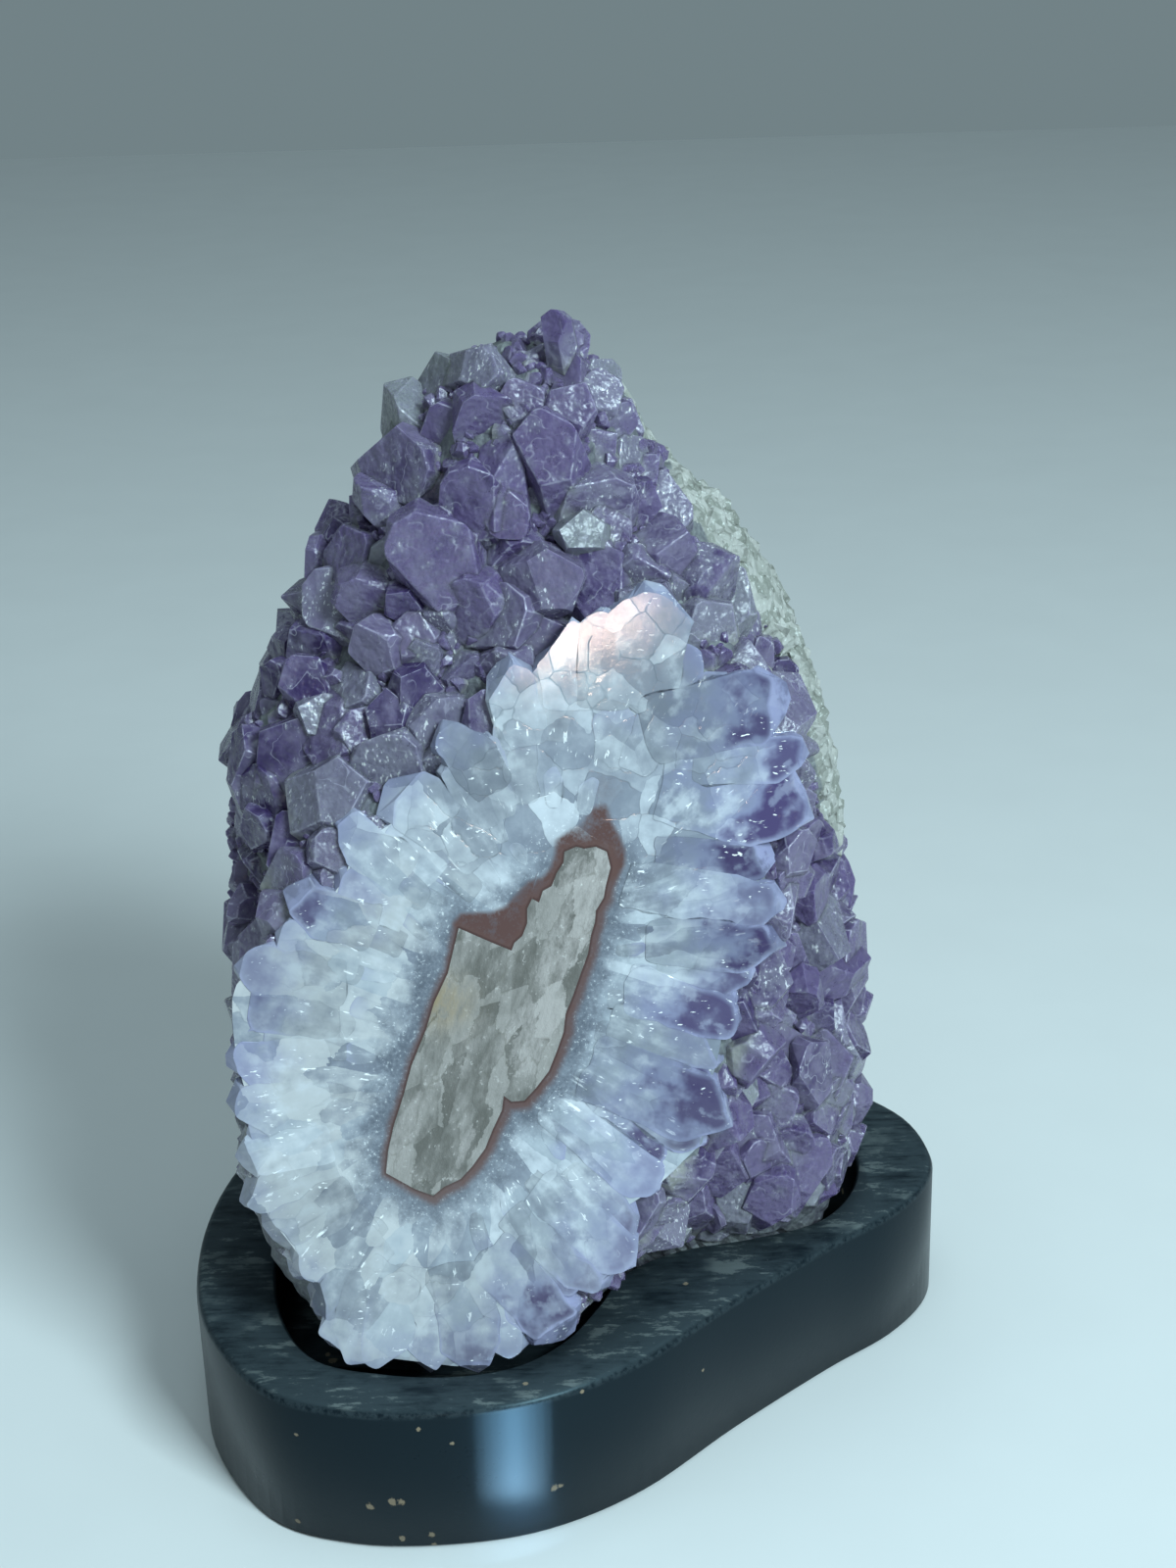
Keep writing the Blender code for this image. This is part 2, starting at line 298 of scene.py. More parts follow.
# %% The stone's mass
LUMPS = [
    ((-5, 15, 66), (51, 28, 66), 2.6, 0),
    ((-9, -20, 88), (40, 36, 72), 2.3, 19),
    ((-6, 12, 126), (37, 24, 46), 2.2, 0),
    ((-33, 10, 104), (24, 24, 38), 2.2, 0),
    ((-4, 14, 158), (21, 18, 31), 2.0, 0),
    ((24, 12, 44), (26, 24, 34), 2.4, 0),
    ((2, 22, 84), (47, 20, 84), 2.2, 0),
]
LUMP_SHARPNESS = 16.0
LUMP_SCALE = 40.0
STONE_HEART = np.array([-3.0, 2.0, 88.0])
STONE_REACH = (5.0, 160.0)
SHOULDER_DROP = 1.2
SHOULDER_SLOPES = (0.62, 1.0)
SHOULDER_DEEPEST = 8.0


def depth_inside(points):
    """Roughly how many millimetres inside the mass each point is."""
    total = np.zeros(len(points))
    for centre, half_sizes, power, lean in LUMPS:
        away = points - np.array(centre, float)
        cos, sin = math.cos(math.radians(lean)), math.sin(math.radians(lean))
        across = away[:, 0] * cos - away[:, 2] * sin
        upward = away[:, 0] * sin + away[:, 2] * cos
        scaled = np.abs(np.stack([across, away[:, 1], upward], axis=1) / np.array(half_sizes, float))
        reach = (scaled ** power).sum(axis=1) ** (1 / power)
        total += np.exp(LUMP_SHARPNESS * (1 - reach))
    lumps = np.log(np.maximum(total, 1e-30)) / LUMP_SHARPNESS * LUMP_SCALE
    beyond, angles = beyond_border(points)
    leftness = (1 - np.cos(angles - math.radians(-40))) / 2
    slope = SHOULDER_SLOPES[1] + (SHOULDER_SLOPES[0] - SHOULDER_SLOPES[1]) * leftness
    slope = np.where(beyond > 0, slope, 3.0)
    back = SHOULDER_DEEPEST * np.tanh(slope * beyond / SHOULDER_DEEPEST)
    shoulder = (FACE_POINT - points) @ FACE_OUT - SHOULDER_DROP - np.where(beyond > 0, back, slope * beyond)
    return np.minimum(lumps, shoulder)


def leave_mass(start, directions):
    """Where rays from a start inside the mass leave it."""
    near = np.full(len(directions), STONE_REACH[0])
    far = np.full(len(directions), STONE_REACH[1])
    for _ in range(26):
        middle = (near + far) / 2
        inside = depth_inside(start + directions * middle[:, None]) > 0
        near = np.where(inside, middle, near)
        far = np.where(inside, far, middle)
    return start + directions * near[:, None]


def surface_normals(points, step=1.2):
    slope = np.zeros_like(points)
    for axis in range(3):
        shift = np.zeros(3)
        shift[axis] = step
        slope[:, axis] = depth_inside(points - shift) - depth_inside(points + shift)
    return slope / np.maximum(np.linalg.norm(slope, axis=1), 1e-9)[:, None]


def even_directions(count):
    """Directions spread evenly over a sphere, on a golden-angle spiral."""
    index = np.arange(count) + 0.5
    polar = np.arccos(1 - 2 * index / count)
    turn = math.pi * (1 + math.sqrt(5)) * index
    return np.stack([np.cos(turn) * np.sin(polar), np.sin(turn) * np.sin(polar), np.cos(polar)], axis=1)


def ease(values, low, high):
    """0 at low and 1 at high, smooth between. High may be the lower of the two."""
    share = np.clip((values - low) / (high - low), 0, 1)
    return share * share * (3 - 2 * share)


def facing(points, normals):
    """1 where the surface looks at the camera, 0 at the outline, and below zero behind it."""
    view = np.array(CAMERA_PLACE) - points
    return (normals * view).sum(axis=1) / np.linalg.norm(view, axis=1)


# %% [markdown]
# At the upper right the druse ends early. Its broken edge and the matrix under it show there as a pale,
# granular band. The druse's edge is written in the photograph's pixels, from the top down.

# %% Where the druse ends
DRUSE_EDGE = [
    (640, 330), (655, 400), (674, 457), (688, 510), (711, 548), (722, 575), (748, 600), (768, 640), (797, 668),
    (810, 700), (819, 738), (826, 782), (836, 816), (842, 850), (858, 880), (900, 930),
]
BAND_FOOT = 88.0


def past_edge(points):
    """How many pixels right of the druse's edge each point is seen."""
    seen = pixel_of(points)
    xs, ys = np.array(DRUSE_EDGE, float).T
    return seen[:, 0] - np.interp(seen[:, 1], ys, xs)


def band_share(points, normals):
    """1 on the granular band and behind it, 0 on the druse."""
    right = ease(points[:, 0], 0.0, 8.0) * ease(points[:, 2], BAND_FOOT - 6, BAND_FOOT + 8)
    seen = facing(points, normals)
    return right * np.where(seen > 0, ease(past_edge(points), -4.0, 10.0), 1.0)


def bears_crystals(points, normals, margin=12.0):
    """The druse covers the front, the left and the top, and ends before the band and the back."""
    upper_right = (points[:, 0] > 4) & (points[:, 2] > BAND_FOOT)
    seen = facing(points, normals)
    on_druse = np.where(upper_right, (seen > 0.0) & (past_edge(points) < -margin), normals[:, 1] < 0.45)
    return on_druse.astype(bool) & (points[:, 2] > STAND_TOP + 3) & (normals[:, 2] > -0.8)


# %% [markdown]
# Shader maths is easier to read as plain arithmetic. Value wraps one output socket, and its operators add
# Math nodes. Paint holds one material and makes any other node by one method.

# %% Shader helpers


class Value:
    """A number that varies over a surface. Arithmetic on it adds Math nodes."""

    def __init__(self, paint, socket):
        self.paint = paint
        self.socket = socket

    def math(self, operation, *others):
        values = {i: other for i, other in enumerate((self, *others))}
        return self.paint.node("ShaderNodeMath", {"operation": operation}, values)

    def __add__(self, other):
        return self.math("ADD", other)

    def __sub__(self, other):
        return self.math("SUBTRACT", other)

    def __mul__(self, other):
        return self.math("MULTIPLY", other)

    def __truediv__(self, other):
        return self.math("DIVIDE", other)

    def __rsub__(self, other):
        return (self * -1.0) + other

    __radd__ = __add__
    __rmul__ = __mul__

    def clamp(self):
        return self.paint.node("ShaderNodeClamp", {}, {"Value": self})

    def step(self, low, high):
        """0 at low and below, 1 at high and above, and smooth between. High may be the lower of the two."""
        inputs = {"Value": self, "From Min": low, "From Max": high}
        return self.paint.node("ShaderNodeMapRange", {"interpolation_type": "SMOOTHSTEP"}, inputs)


class Paint:
    """One material and its node tree."""

    def __init__(self, name):
        self.material = bpy.data.materials.new(name)
        self.material.use_nodes = True
        self.tree = self.material.node_tree
        self.shader = self.tree.nodes["Principled BSDF"]

    def node(self, kind, settings, inputs, output=0):
        """Adds a node, with its settings made first, and returns one of its outputs."""
        made = self.tree.nodes.new(kind)
        for name, setting in settings.items():
            setattr(made, name, setting)
        for name, value in inputs.items():
            self.feed(made.inputs[name], value)
        return Value(self, made.outputs[output])

    def feed(self, socket, value):
        if isinstance(value, Value):
            self.tree.links.new(value.socket, socket)
        elif socket.type == "RGBA":
            socket.default_value = (*value, 1.0)
        else:
            socket.default_value = value

    def attribute(self, name):
        return self.node("ShaderNodeAttribute", {"attribute_name": name}, {}, "Fac")

    def place(self, stretch=(1, 1, 1), turn=(0, 0, 0)):
        """The point's place in millimetres, squeezed by stretch along each axis after a turn."""
        place = self.node("ShaderNodeTexCoord", {}, {}, "Object")
        turns = {"Vector": place, "Rotation": turn, "Scale": tuple(1 / (MM * s) for s in stretch)}
        return self.node("ShaderNodeMapping", {"vector_type": "POINT"}, turns)

    def noise(self, vector, size=1.0, detail=3.0, rough=0.5, output=0):
        inputs = {"Vector": vector, "Scale": 1 / size, "Detail": detail, "Roughness": rough}
        return self.node("ShaderNodeTexNoise", {}, inputs, output)

    def cells(self, vector, size=1.0, feature="F1", output="Distance", jitter=1.0):
        inputs = {"Vector": vector, "Scale": 1 / size, "Randomness": jitter}
        return self.node("ShaderNodeTexVoronoi", {"feature": feature}, inputs, output)

    def mix(self, first, second, share):
        """One colour turning into another as the share goes from 0 to 1."""
        made = self.tree.nodes.new("ShaderNodeMix")
        made.data_type = "RGBA"
        self.feed(made.inputs[0], share)
        self.feed(made.inputs[6], first)
        self.feed(made.inputs[7], second)
        return Value(self, made.outputs[2])

    def lift(self, colour, share):
        """The colour times a number that varies."""
        made = self.tree.nodes.new("ShaderNodeVectorMath")
        made.operation = "SCALE"
        self.feed(made.inputs[0], colour)
        self.feed(made.inputs["Scale"], share)
        return Value(self, made.outputs[0])

    def parts(self, vector):
        made = self.tree.nodes.new("ShaderNodeSeparateXYZ")
        self.feed(made.inputs[0], vector)
        return [Value(self, made.outputs[i]) for i in range(3)]

    def join(self, x, y, z):
        return self.node("ShaderNodeCombineXYZ", {}, {0: x, 1: y, 2: z})

    def bump(self, height, strength, distance):
        inputs = {"Height": height, "Strength": strength, "Distance": distance * MM}
        return self.node("ShaderNodeBump", {}, inputs)

    def finish(self, colour, roughness, normal=None, **steady):
        self.feed(self.shader.inputs["Base Color"], colour)
        self.feed(self.shader.inputs["Roughness"], roughness)
        if normal:
            self.feed(self.shader.inputs["Normal"], normal)
        for name, value in steady.items():
            self.shader.inputs[name.replace("_", " ")].default_value = value
        return self.material


# %% [markdown]
# Amethyst is clear quartz that turns purple towards each crystal's tip. The roots are pale and full of
# veils, worn edges carry a pale line that is partly a painted highlight, and the crevices hold dust and
# painted shade. Each crystal carries how far along it a point is, and values of its own for tone, purple
# and frost, which the material reads.

# %% Amethyst
PALE_ROOT = (0.25, 0.235, 0.31)
GREY_LILAC = (0.195, 0.16, 0.27)
PURPLE = (0.14, 0.102, 0.225)
DEEP_PURPLE = (0.055, 0.033, 0.12)
CLEAR_GREY = (0.27, 0.275, 0.30)
FROST_AND_GLINT = (0.90, 0.88, 0.92)
EDGE_WEAR_AND_HIGHLIGHT = (0.60, 0.57, 0.68)
DUST = (0.36, 0.355, 0.31)
CREVICE_SHADE = (0.10, 0.09, 0.115)
QUARTZ_IOR = 1.54


def amethyst_paint():
    paint = Paint("amethyst")
    place = paint.place()
    along, tone = paint.attribute("along"), paint.attribute("tone")
    purple, milk = paint.attribute("purple"), paint.attribute("milk")
    cloud = paint.noise(place, 4.2, 3, 0.55)
    veil = paint.noise(place, 1.7, 5, 0.62)
    body = paint.mix(GREY_LILAC, PURPLE, (tone + (cloud - 0.5) * 1.6).step(0.0, 0.9))
    body = paint.mix(body, DEEP_PURPLE, (purple + (cloud - 0.5) * 1.2).step(0.62, 1.1))
    body = paint.mix(CLEAR_GREY, body, purple.step(0.05, 0.4))
    ripening = (along * 1.2 + (cloud - 0.5) * 1.4 + (purple - 0.5) * 0.5).step(0.0, 0.9)
    colour = paint.mix(PALE_ROOT, body, ripening)
    colour = paint.lift(colour, veil * 0.5 + 0.72)
    # Dust in the crevices and painted shade in the rest of them, and pale worn edges that are partly a painted
    # highlight
    crevice = (1 - along).step(0.5, 0.95)
    dusty = crevice * paint.noise(place, 3.0, 4, 0.6).step(0.38, 0.56)
    colour = paint.mix(colour, CREVICE_SHADE, crevice * (1 - dusty) * 0.45)
    colour = paint.mix(colour, DUST, dusty * 0.7)
    colour = paint.mix(colour, EDGE_WEAR_AND_HIGHLIGHT, paint.attribute("edge") * veil.step(0.38, 0.55) * 0.5)
    # Healed cracks show as thin pale sheets, and open ones as patches of irregular white flecks, partly fractures and
    # partly painted glints
    sheet = (paint.noise(place, 5.2, 2, 0.5) - 0.5).math("ABSOLUTE").step(0.014, 0.002) * cloud.step(0.45, 0.6)
    colour = paint.mix(colour, EDGE_WEAR_AND_HIGHLIGHT, sheet * 0.4)
    shards = paint.noise(paint.place((0.8, 0.8, 2.0), (0.3, 0.2, 0)), 0.6, 2, 0.55).step(0.58, 0.68)
    patch = paint.noise(place, 3.4, 3, 0.55)
    flecks = shards * (patch + milk * 0.22 - 0.08).step(0.5, 0.64)
    colour = paint.mix(colour, PALE_ROOT, (patch + milk * 0.3 - 0.1).step(0.48, 0.66) * 0.55)
    colour = paint.mix(colour, FROST_AND_GLINT, flecks * 0.85)
    gloss = (veil * 0.3 + dusty * 0.3 + tone * 0.12 + 0.05 - flecks * 0.2).clamp()
    bump = paint.bump(veil * 0.6 + paint.noise(place, 2.8, 2) * 2.2, 0.5, 0.8)
    return paint.finish(colour, gloss, bump, IOR=QUARTZ_IOR, Transmission_Weight=0.25, Subsurface_Weight=0.5,
                        Subsurface_Radius=(0.8, 0.65, 1.0), Subsurface_Scale=3 * MM)


AMETHYST = amethyst_paint()

# %% [markdown]
# The polished face cuts through crystals that grew outwards from the core. Its pattern follows that growth:
# the two distances from a point to the ends of the core's axis give an elliptic pair of coordinates, one that
# grows outwards and one that runs round the core. Wrapped round a cylinder they have no seam. Fine sugary
# grains lie by the core, milky crystals with glinting fractures beyond them, and clearer ones at the border.

# %% Polished quartz
SUGAR_GREY = (0.25, 0.27, 0.32)
SUGAR_DARK = (0.11, 0.12, 0.15)
QUARTZ_CLEAR = (0.20, 0.215, 0.265)
QUARTZ_WHITE = (0.38, 0.41, 0.46)
MILK_WHITE = (0.61, 0.63, 0.68)
MILK_GREY = (0.54, 0.535, 0.545)
QUARTZ_LILAC = (0.26, 0.265, 0.44)
FACE_PURPLE = (0.062, 0.042, 0.125)
TIP_HIGHLIGHT_BAND = (0.34, 0.34, 0.52)
SEAM_GREY = (0.10, 0.11, 0.13)
RIM_BROWN = (0.115, 0.060, 0.054)
RIM_DARK = (0.06, 0.03, 0.028)
SMUDGE_BROWN = (0.105, 0.054, 0.050)
MOSAIC_FROM = (20.0, 30.0)


def face_place(paint):
    """The point's place in the polished plane's own axes, in millimetres: across and up."""
    place = paint.node("ShaderNodeTexCoord", {}, {}, "Object")
    away = paint.node("ShaderNodeVectorMath", {"operation": "SUBTRACT"}, {0: place, 1: tuple(CORE_MIDDLE * MM)})
    return [paint.node("ShaderNodeVectorMath", {"operation": "DOT_PRODUCT"}, {0: away, 1: tuple(axis / MM)}, "Value")
            for axis in (FACE_RIGHT, FACE_UP)]


def growth(paint, across, upward):
    """How far out from the core's axis a point is, and a pair that runs round it without a seam."""
    spot = paint.join(across, upward, 0.0)
    ends = [(float(end[0]), float(end[1]), 0.0) for end in CORE_ENDS]
    reach = [paint.node("ShaderNodeVectorMath", {"operation": "DISTANCE"}, {0: spot, 1: end}, "Value") for end in ends]
    outward = (reach[0] + reach[1]) * 0.5 - CORE_HALF
    along = (reach[0] - reach[1]) / (2 * CORE_HALF)
    axis = CORE_ENDS[1] - CORE_ENDS[0]
    normal = np.array([axis[1], -axis[0]]) / (2 * CORE_HALF)
    centre = CORE_ENDS.mean(axis=0)
    side = (across - float(centre[0])) * float(normal[0]) + (upward - float(centre[1])) * float(normal[1])
    around = (1.0001 - along * along).math("SQRT") * side.math("SIGN")
    return outward, along, around


def radial_cells(paint, outward, pair, count, length, feature="F1", output="Distance"):
    """Cells drawn out along the growth: this many round the core, this many millimetres long."""
    radius = count / (2 * math.pi)
    spot = paint.join(pair[0] * radius, pair[1] * radius, outward / length)
    return paint.cells(spot, 1.0, feature, output)


def grown_quartz(paint):
    """The polished quartz before any rim or crystal edge is laid on it: colour, height, place and clouds."""
    across, upward = face_place(paint)
    outward, *pair = growth(paint, across, upward)
    place = paint.place()
    from_core = paint.attribute("core_distance")
    broad = paint.noise(place, 8.0, 3)
    cloud = paint.noise(place, 3.6, 4, 0.55)
    sugar = paint.noise(place, 0.62, 3, 0.75)
    out = outward + (cloud - 0.5) * 4.0
    streak = paint.noise(paint.join(pair[0] * 17.0, pair[1] * 17.0, out / 6.0), 1.0, 3, 0.5)
    tone = paint.parts(radial_cells(paint, out, pair, 58, 6.5, output="Color"))
    seam = radial_cells(paint, out, pair, 58, 6.5, "DISTANCE_TO_EDGE")
    # Sugary grains
    grainy = (sugar * 0.8 + cloud * 0.6 - 0.2).step(0.25, 0.75)
    colour = paint.mix(SUGAR_DARK, SUGAR_GREY, grainy)
    # Milky crystals
    milky = (tone[0] * 0.8 + streak * 0.7 + cloud * 0.8 - 0.72).step(0.05, 0.85)
    crystals = paint.mix(QUARTZ_CLEAR, QUARTZ_WHITE, milky)
    leftness = across.step(4.0, -22.0)
    frost = (cloud * 0.9 + tone[1] * 0.7 + streak * 0.4 + leftness * 0.2 - 0.56).step(0.3, 0.95)
    crystals = paint.mix(crystals, paint.mix(MILK_WHITE, MILK_GREY, leftness), frost * 0.8)
    colour = paint.mix(colour, crystals, (from_core + (cloud - 0.5) * 8.0).step(2.0, 8.5))
    # Above the core the crystals point at the camera, so that they show as a mosaic of blunt grains
    high = (upward + (broad - 0.5) * 14.0).step(*MOSAIC_FROM)
    warp = paint.node("ShaderNodeVectorMath", {"operation": "MULTIPLY_ADD"}, {0: paint.noise(place, 4.0, 2, output=1),
                                                                             1: (2.2, 2.2, 2.2), 2: place})
    blunt = paint.parts(paint.cells(warp, 6.6, output="Color"))
    joint = paint.cells(warp, 6.6, "DISTANCE_TO_EDGE")
    grains = paint.mix(QUARTZ_CLEAR, MILK_WHITE, (blunt[0] * 0.75 + cloud * 0.7 - 0.4).step(0.05, 0.95))
    colour = paint.mix(colour, grains, high * 0.85)
    cracks = joint.step(0.02, 0.0) * high * broad.step(0.42, 0.55) * 0.45
    seams = seam.step(0.03, 0.0) * (1 - high) * from_core.step(7.0, 14.0) * broad.step(0.45, 0.6) * 0.25
    colour = paint.mix(colour, SEAM_GREY, (cracks + seams).clamp())
    # Short white flecks, partly fractures and partly painted glints, lie along the growth, and fine white grains by the
    # core
    fracture_glint = paint.noise(paint.join(pair[0] * 52.0, pair[1] * 52.0, out / 2.4), 1.0, 3, 0.6).step(0.6, 0.66)
    fracture_glint = fracture_glint * paint.noise(place, 4.6, 2).step(0.56, 0.62) * from_core.step(3.0, 8.0)
    fine = sugar.step(0.6, 0.68) * from_core.step(9.0, 3.0) * 0.5
    colour = paint.mix(colour, (0.95, 0.95, 0.97), (fracture_glint + fine).clamp())
    height = streak * 0.3 + sugar * 0.2 + cracks * -1.5 + fracture_glint * 0.5
    return colour, height, cloud, sugar, streak


def polished_paint():
    """The polished face, with the brown rim that the core's distance draws, wider on the core's right."""
    paint = Paint("polished_quartz")
    colour, height, cloud, sugar, _ = grown_quartz(paint)
    across, upward = face_place(paint)
    sideways = across * math.cos(CORE_TILT) - upward * math.sin(CORE_TILT)
    wide = sideways.step(-4.0, 5.0)
    smudge = paint.attribute("smudge")
    rim = paint.attribute("core_distance") + (cloud - 0.5) * 1.2 + (sugar - 0.5) * 0.5 - wide * 0.7
    colour = paint.mix(colour, SUGAR_DARK, rim.step(4.5, 0.8) * 0.4)
    colour = paint.mix(colour, SMUDGE_BROWN, (smudge * (sugar * 0.7 + cloud * 0.7) * 1.7 - 0.25).clamp())
    colour = paint.mix(colour, RIM_BROWN, (rim.step(1.7, 0.1) * (cloud * 0.6 + 0.6)).clamp())
    colour = paint.mix(colour, RIM_DARK, paint.attribute("core_distance").step(0.5, 0.2) * 0.7)
    bump = paint.bump(height, 0.12, 0.2)
    return paint.finish(colour, sugar * 0.08 + 0.04, bump, IOR=QUARTZ_IOR)


def cut_crystal_paint():
    """A crystal sliced by the polished face: the same growth, a pale tip band painted as a highlight, and purple inside
    the tip.
    """
    paint = Paint("cut_crystal")
    colour, height, cloud, sugar, streak = grown_quartz(paint)
    tone, purple = paint.attribute("tone"), paint.attribute("purple")
    milk, along = paint.attribute("milk"), paint.attribute("along")
    rim = paint.attribute("rim") + (cloud - 0.5) * 0.7
    patch = paint.noise(paint.place(), 5.5, 3, 0.55)
    lilac = (along + (patch - 0.5) * 1.2 + purple * 0.7 - 0.5).step(0.0, 0.8)
    colour = paint.mix(colour, QUARTZ_LILAC, lilac * 0.7)
    deep = (along * 1.9 + (patch - 0.5) * 2.6 + (streak - 0.5) * 0.9 + purple * 0.8 - 1.42).step(0.05, 0.8)
    deep = deep * purple.step(0.3, 0.8) * (rim.step(0.1, 1.2) * 0.65 + 0.35)
    wisp = (streak * 0.7 + cloud * 0.9 - 0.3).step(0.56, 0.68)
    deep = deep * (1 - wisp * 0.45)
    colour = paint.mix(colour, FACE_PURPLE, deep * 0.95)
    colour = paint.mix(colour, MILK_WHITE, (milk * (cloud + streak - 0.5)).clamp() * 0.8)
    plume = (streak * 0.6 + cloud * 0.8 - 0.2).step(0.5, 0.75) * (1 - deep) * (1 - along).step(0.0, 0.6)
    colour = paint.mix(colour, MILK_WHITE, plume * 0.55)
    colour = paint.lift(colour, tone * 0.36 + 0.8)
    # A pale band along the cut's border near the tip: painted highlight where the border facets catch light
    band = rim.step(0.6, 0.1) * along.step(0.4, 0.7) * (cloud + 0.1).step(0.5, 0.66)
    colour = paint.mix(colour, TIP_HIGHLIGHT_BAND, band * (purple * 0.75 + 0.15))
    line = paint.attribute("rim").step(0.16, 0.02) * patch.step(0.48, 0.6)
    colour = paint.mix(colour, SEAM_GREY, line * (1 - along).step(0.0, 0.5) * 0.25)
    glint = paint.noise(paint.place((2.2, 0.8, 0.8), (0, 0.5, 0)), 0.6, 2, 0.5).step(0.64, 0.7) * patch.step(0.54, 0.62)
    colour = paint.mix(colour, (0.97, 0.97, 1.0), glint)
    bump = paint.bump(height, 0.15, 0.2)
    return paint.finish(colour, sugar * 0.08 + 0.04, bump, IOR=QUARTZ_IOR, Transmission_Weight=0.15)


POLISHED = polished_paint()
CUT_CRYSTAL = cut_crystal_paint()

# %% [markdown]
# The core is calcite, dull beige-grey with pale cleavage flecks that run along it. The matrix at the back is
# granular, pale and a little green, under a thin brown and olive skin. The druse's floor shows between the
# crystals as dusty grey-green quartz. One material paints the whole mass, by an attribute for each zone.

# %% Calcite, matrix and druse floor
CALCITE_GREY = (0.106, 0.099, 0.09)
CALCITE_PALE = (0.285, 0.262, 0.25)
CALCITE_CREAM = (0.37, 0.335, 0.325)
CALCITE_YELLOW = (0.28, 0.20, 0.10)
MATRIX_PALE = (0.40, 0.395, 0.37)
MATRIX_GREEN = (0.22, 0.225, 0.20)
SKIN_BROWN = (0.125, 0.098, 0.068)
SKIN_OLIVE = (0.175, 0.17, 0.10)
SKIN_GREY = (0.20, 0.205, 0.185)
FLOOR_GREY = (0.20, 0.215, 0.215)
FLOOR_DARK = (0.055, 0.05, 0.075)


# Pale patches: place across and along the core, half width and half length in mm, and strength
CREAM_PATCHES = [(1.8, 25.5, 3.4, 5.0, 1.0), (3.0, 15.5, 2.6, 9.0, 1.0), (5.2, -2.2, 3.4, 7.0, 0.95),
                 (-6.2, -26.0, 1.8, 7.5, 0.7), (3.4, -22.5, 1.1, 5.0, 0.7), (-3.4, -10.0, 2.6, 7.0, 0.4)]


def calcite_paint():
    paint = Paint("calcite")
    across, upward = face_place(paint)
    sideways = across * math.cos(CORE_TILT) - upward * math.sin(CORE_TILT)
    lengthwise = across * math.sin(CORE_TILT) + upward * math.cos(CORE_TILT)
    place = paint.place()
    spot = paint.join(sideways, lengthwise * 0.5 + sideways * 0.35, 0.0)
    broad = paint.noise(spot, 5.0, 3, 0.55)
    streak = paint.noise(spot, 1.6, 6, 0.7)
    fine = paint.noise(place, 0.7, 3, 0.6)
    torn = paint.join(sideways + (streak - 0.5) * 3.0, lengthwise * 0.4 + sideways * 0.4 + (streak - 0.5) * 2.0, 0.0)
    plane = paint.parts(paint.cells(torn, 3.2, output="Color"))
    tone = broad * 1.3 + plane[0] * 0.65 + streak * 1.0 - 1.05
    colour = paint.mix(CALCITE_GREY, CALCITE_PALE, tone.step(0.05, 0.8))
    creamy = streak * 0.0
    for side, along, half_width, half_length, strength in CREAM_PATCHES:
        a, b = (sideways - side) / half_width, (lengthwise - along) / half_length
        reach = a * a + b * b + (streak - 0.5) * 4.0 + (plane[1] - 0.5) * 1.6 + (fine - 0.5) * 1.2
        creamy = creamy.math("MAXIMUM", reach.step(1.3, 0.8) * strength)
    colour = paint.mix(colour, CALCITE_CREAM, creamy * (plane[2] * 0.7 + streak * 2.4 - 0.9).clamp())
    flecks = (streak + (fine - 0.5) * 0.9 + broad * 0.3).step(0.79, 0.85)
    colour = paint.mix(colour, CALCITE_CREAM, flecks * 0.6)
    glints = fine.step(0.63, 0.7) * streak.step(0.46, 0.6) * (creamy * 0.6 + 0.4)
    colour = paint.mix(colour, (0.72, 0.71, 0.69), glints * 0.6)
    edges = paint.cells(torn, 3.2, "DISTANCE_TO_EDGE").step(0.04, 0.0)
    colour = paint.mix(colour, (0.12, 0.11, 0.09), edges * broad.step(0.45, 0.6) * 0.5)
    stain = paint.attribute("stain") * streak.step(0.25, 0.65) * 0.9
    colour = paint.mix(colour, CALCITE_YELLOW, stain)
    bump = paint.bump(streak * 1.2 + plane[2] * 0.5 + fine * 0.4, 0.4, 0.5)
    return paint.finish(colour, streak * 0.3 + 0.25, bump, IOR=1.6)


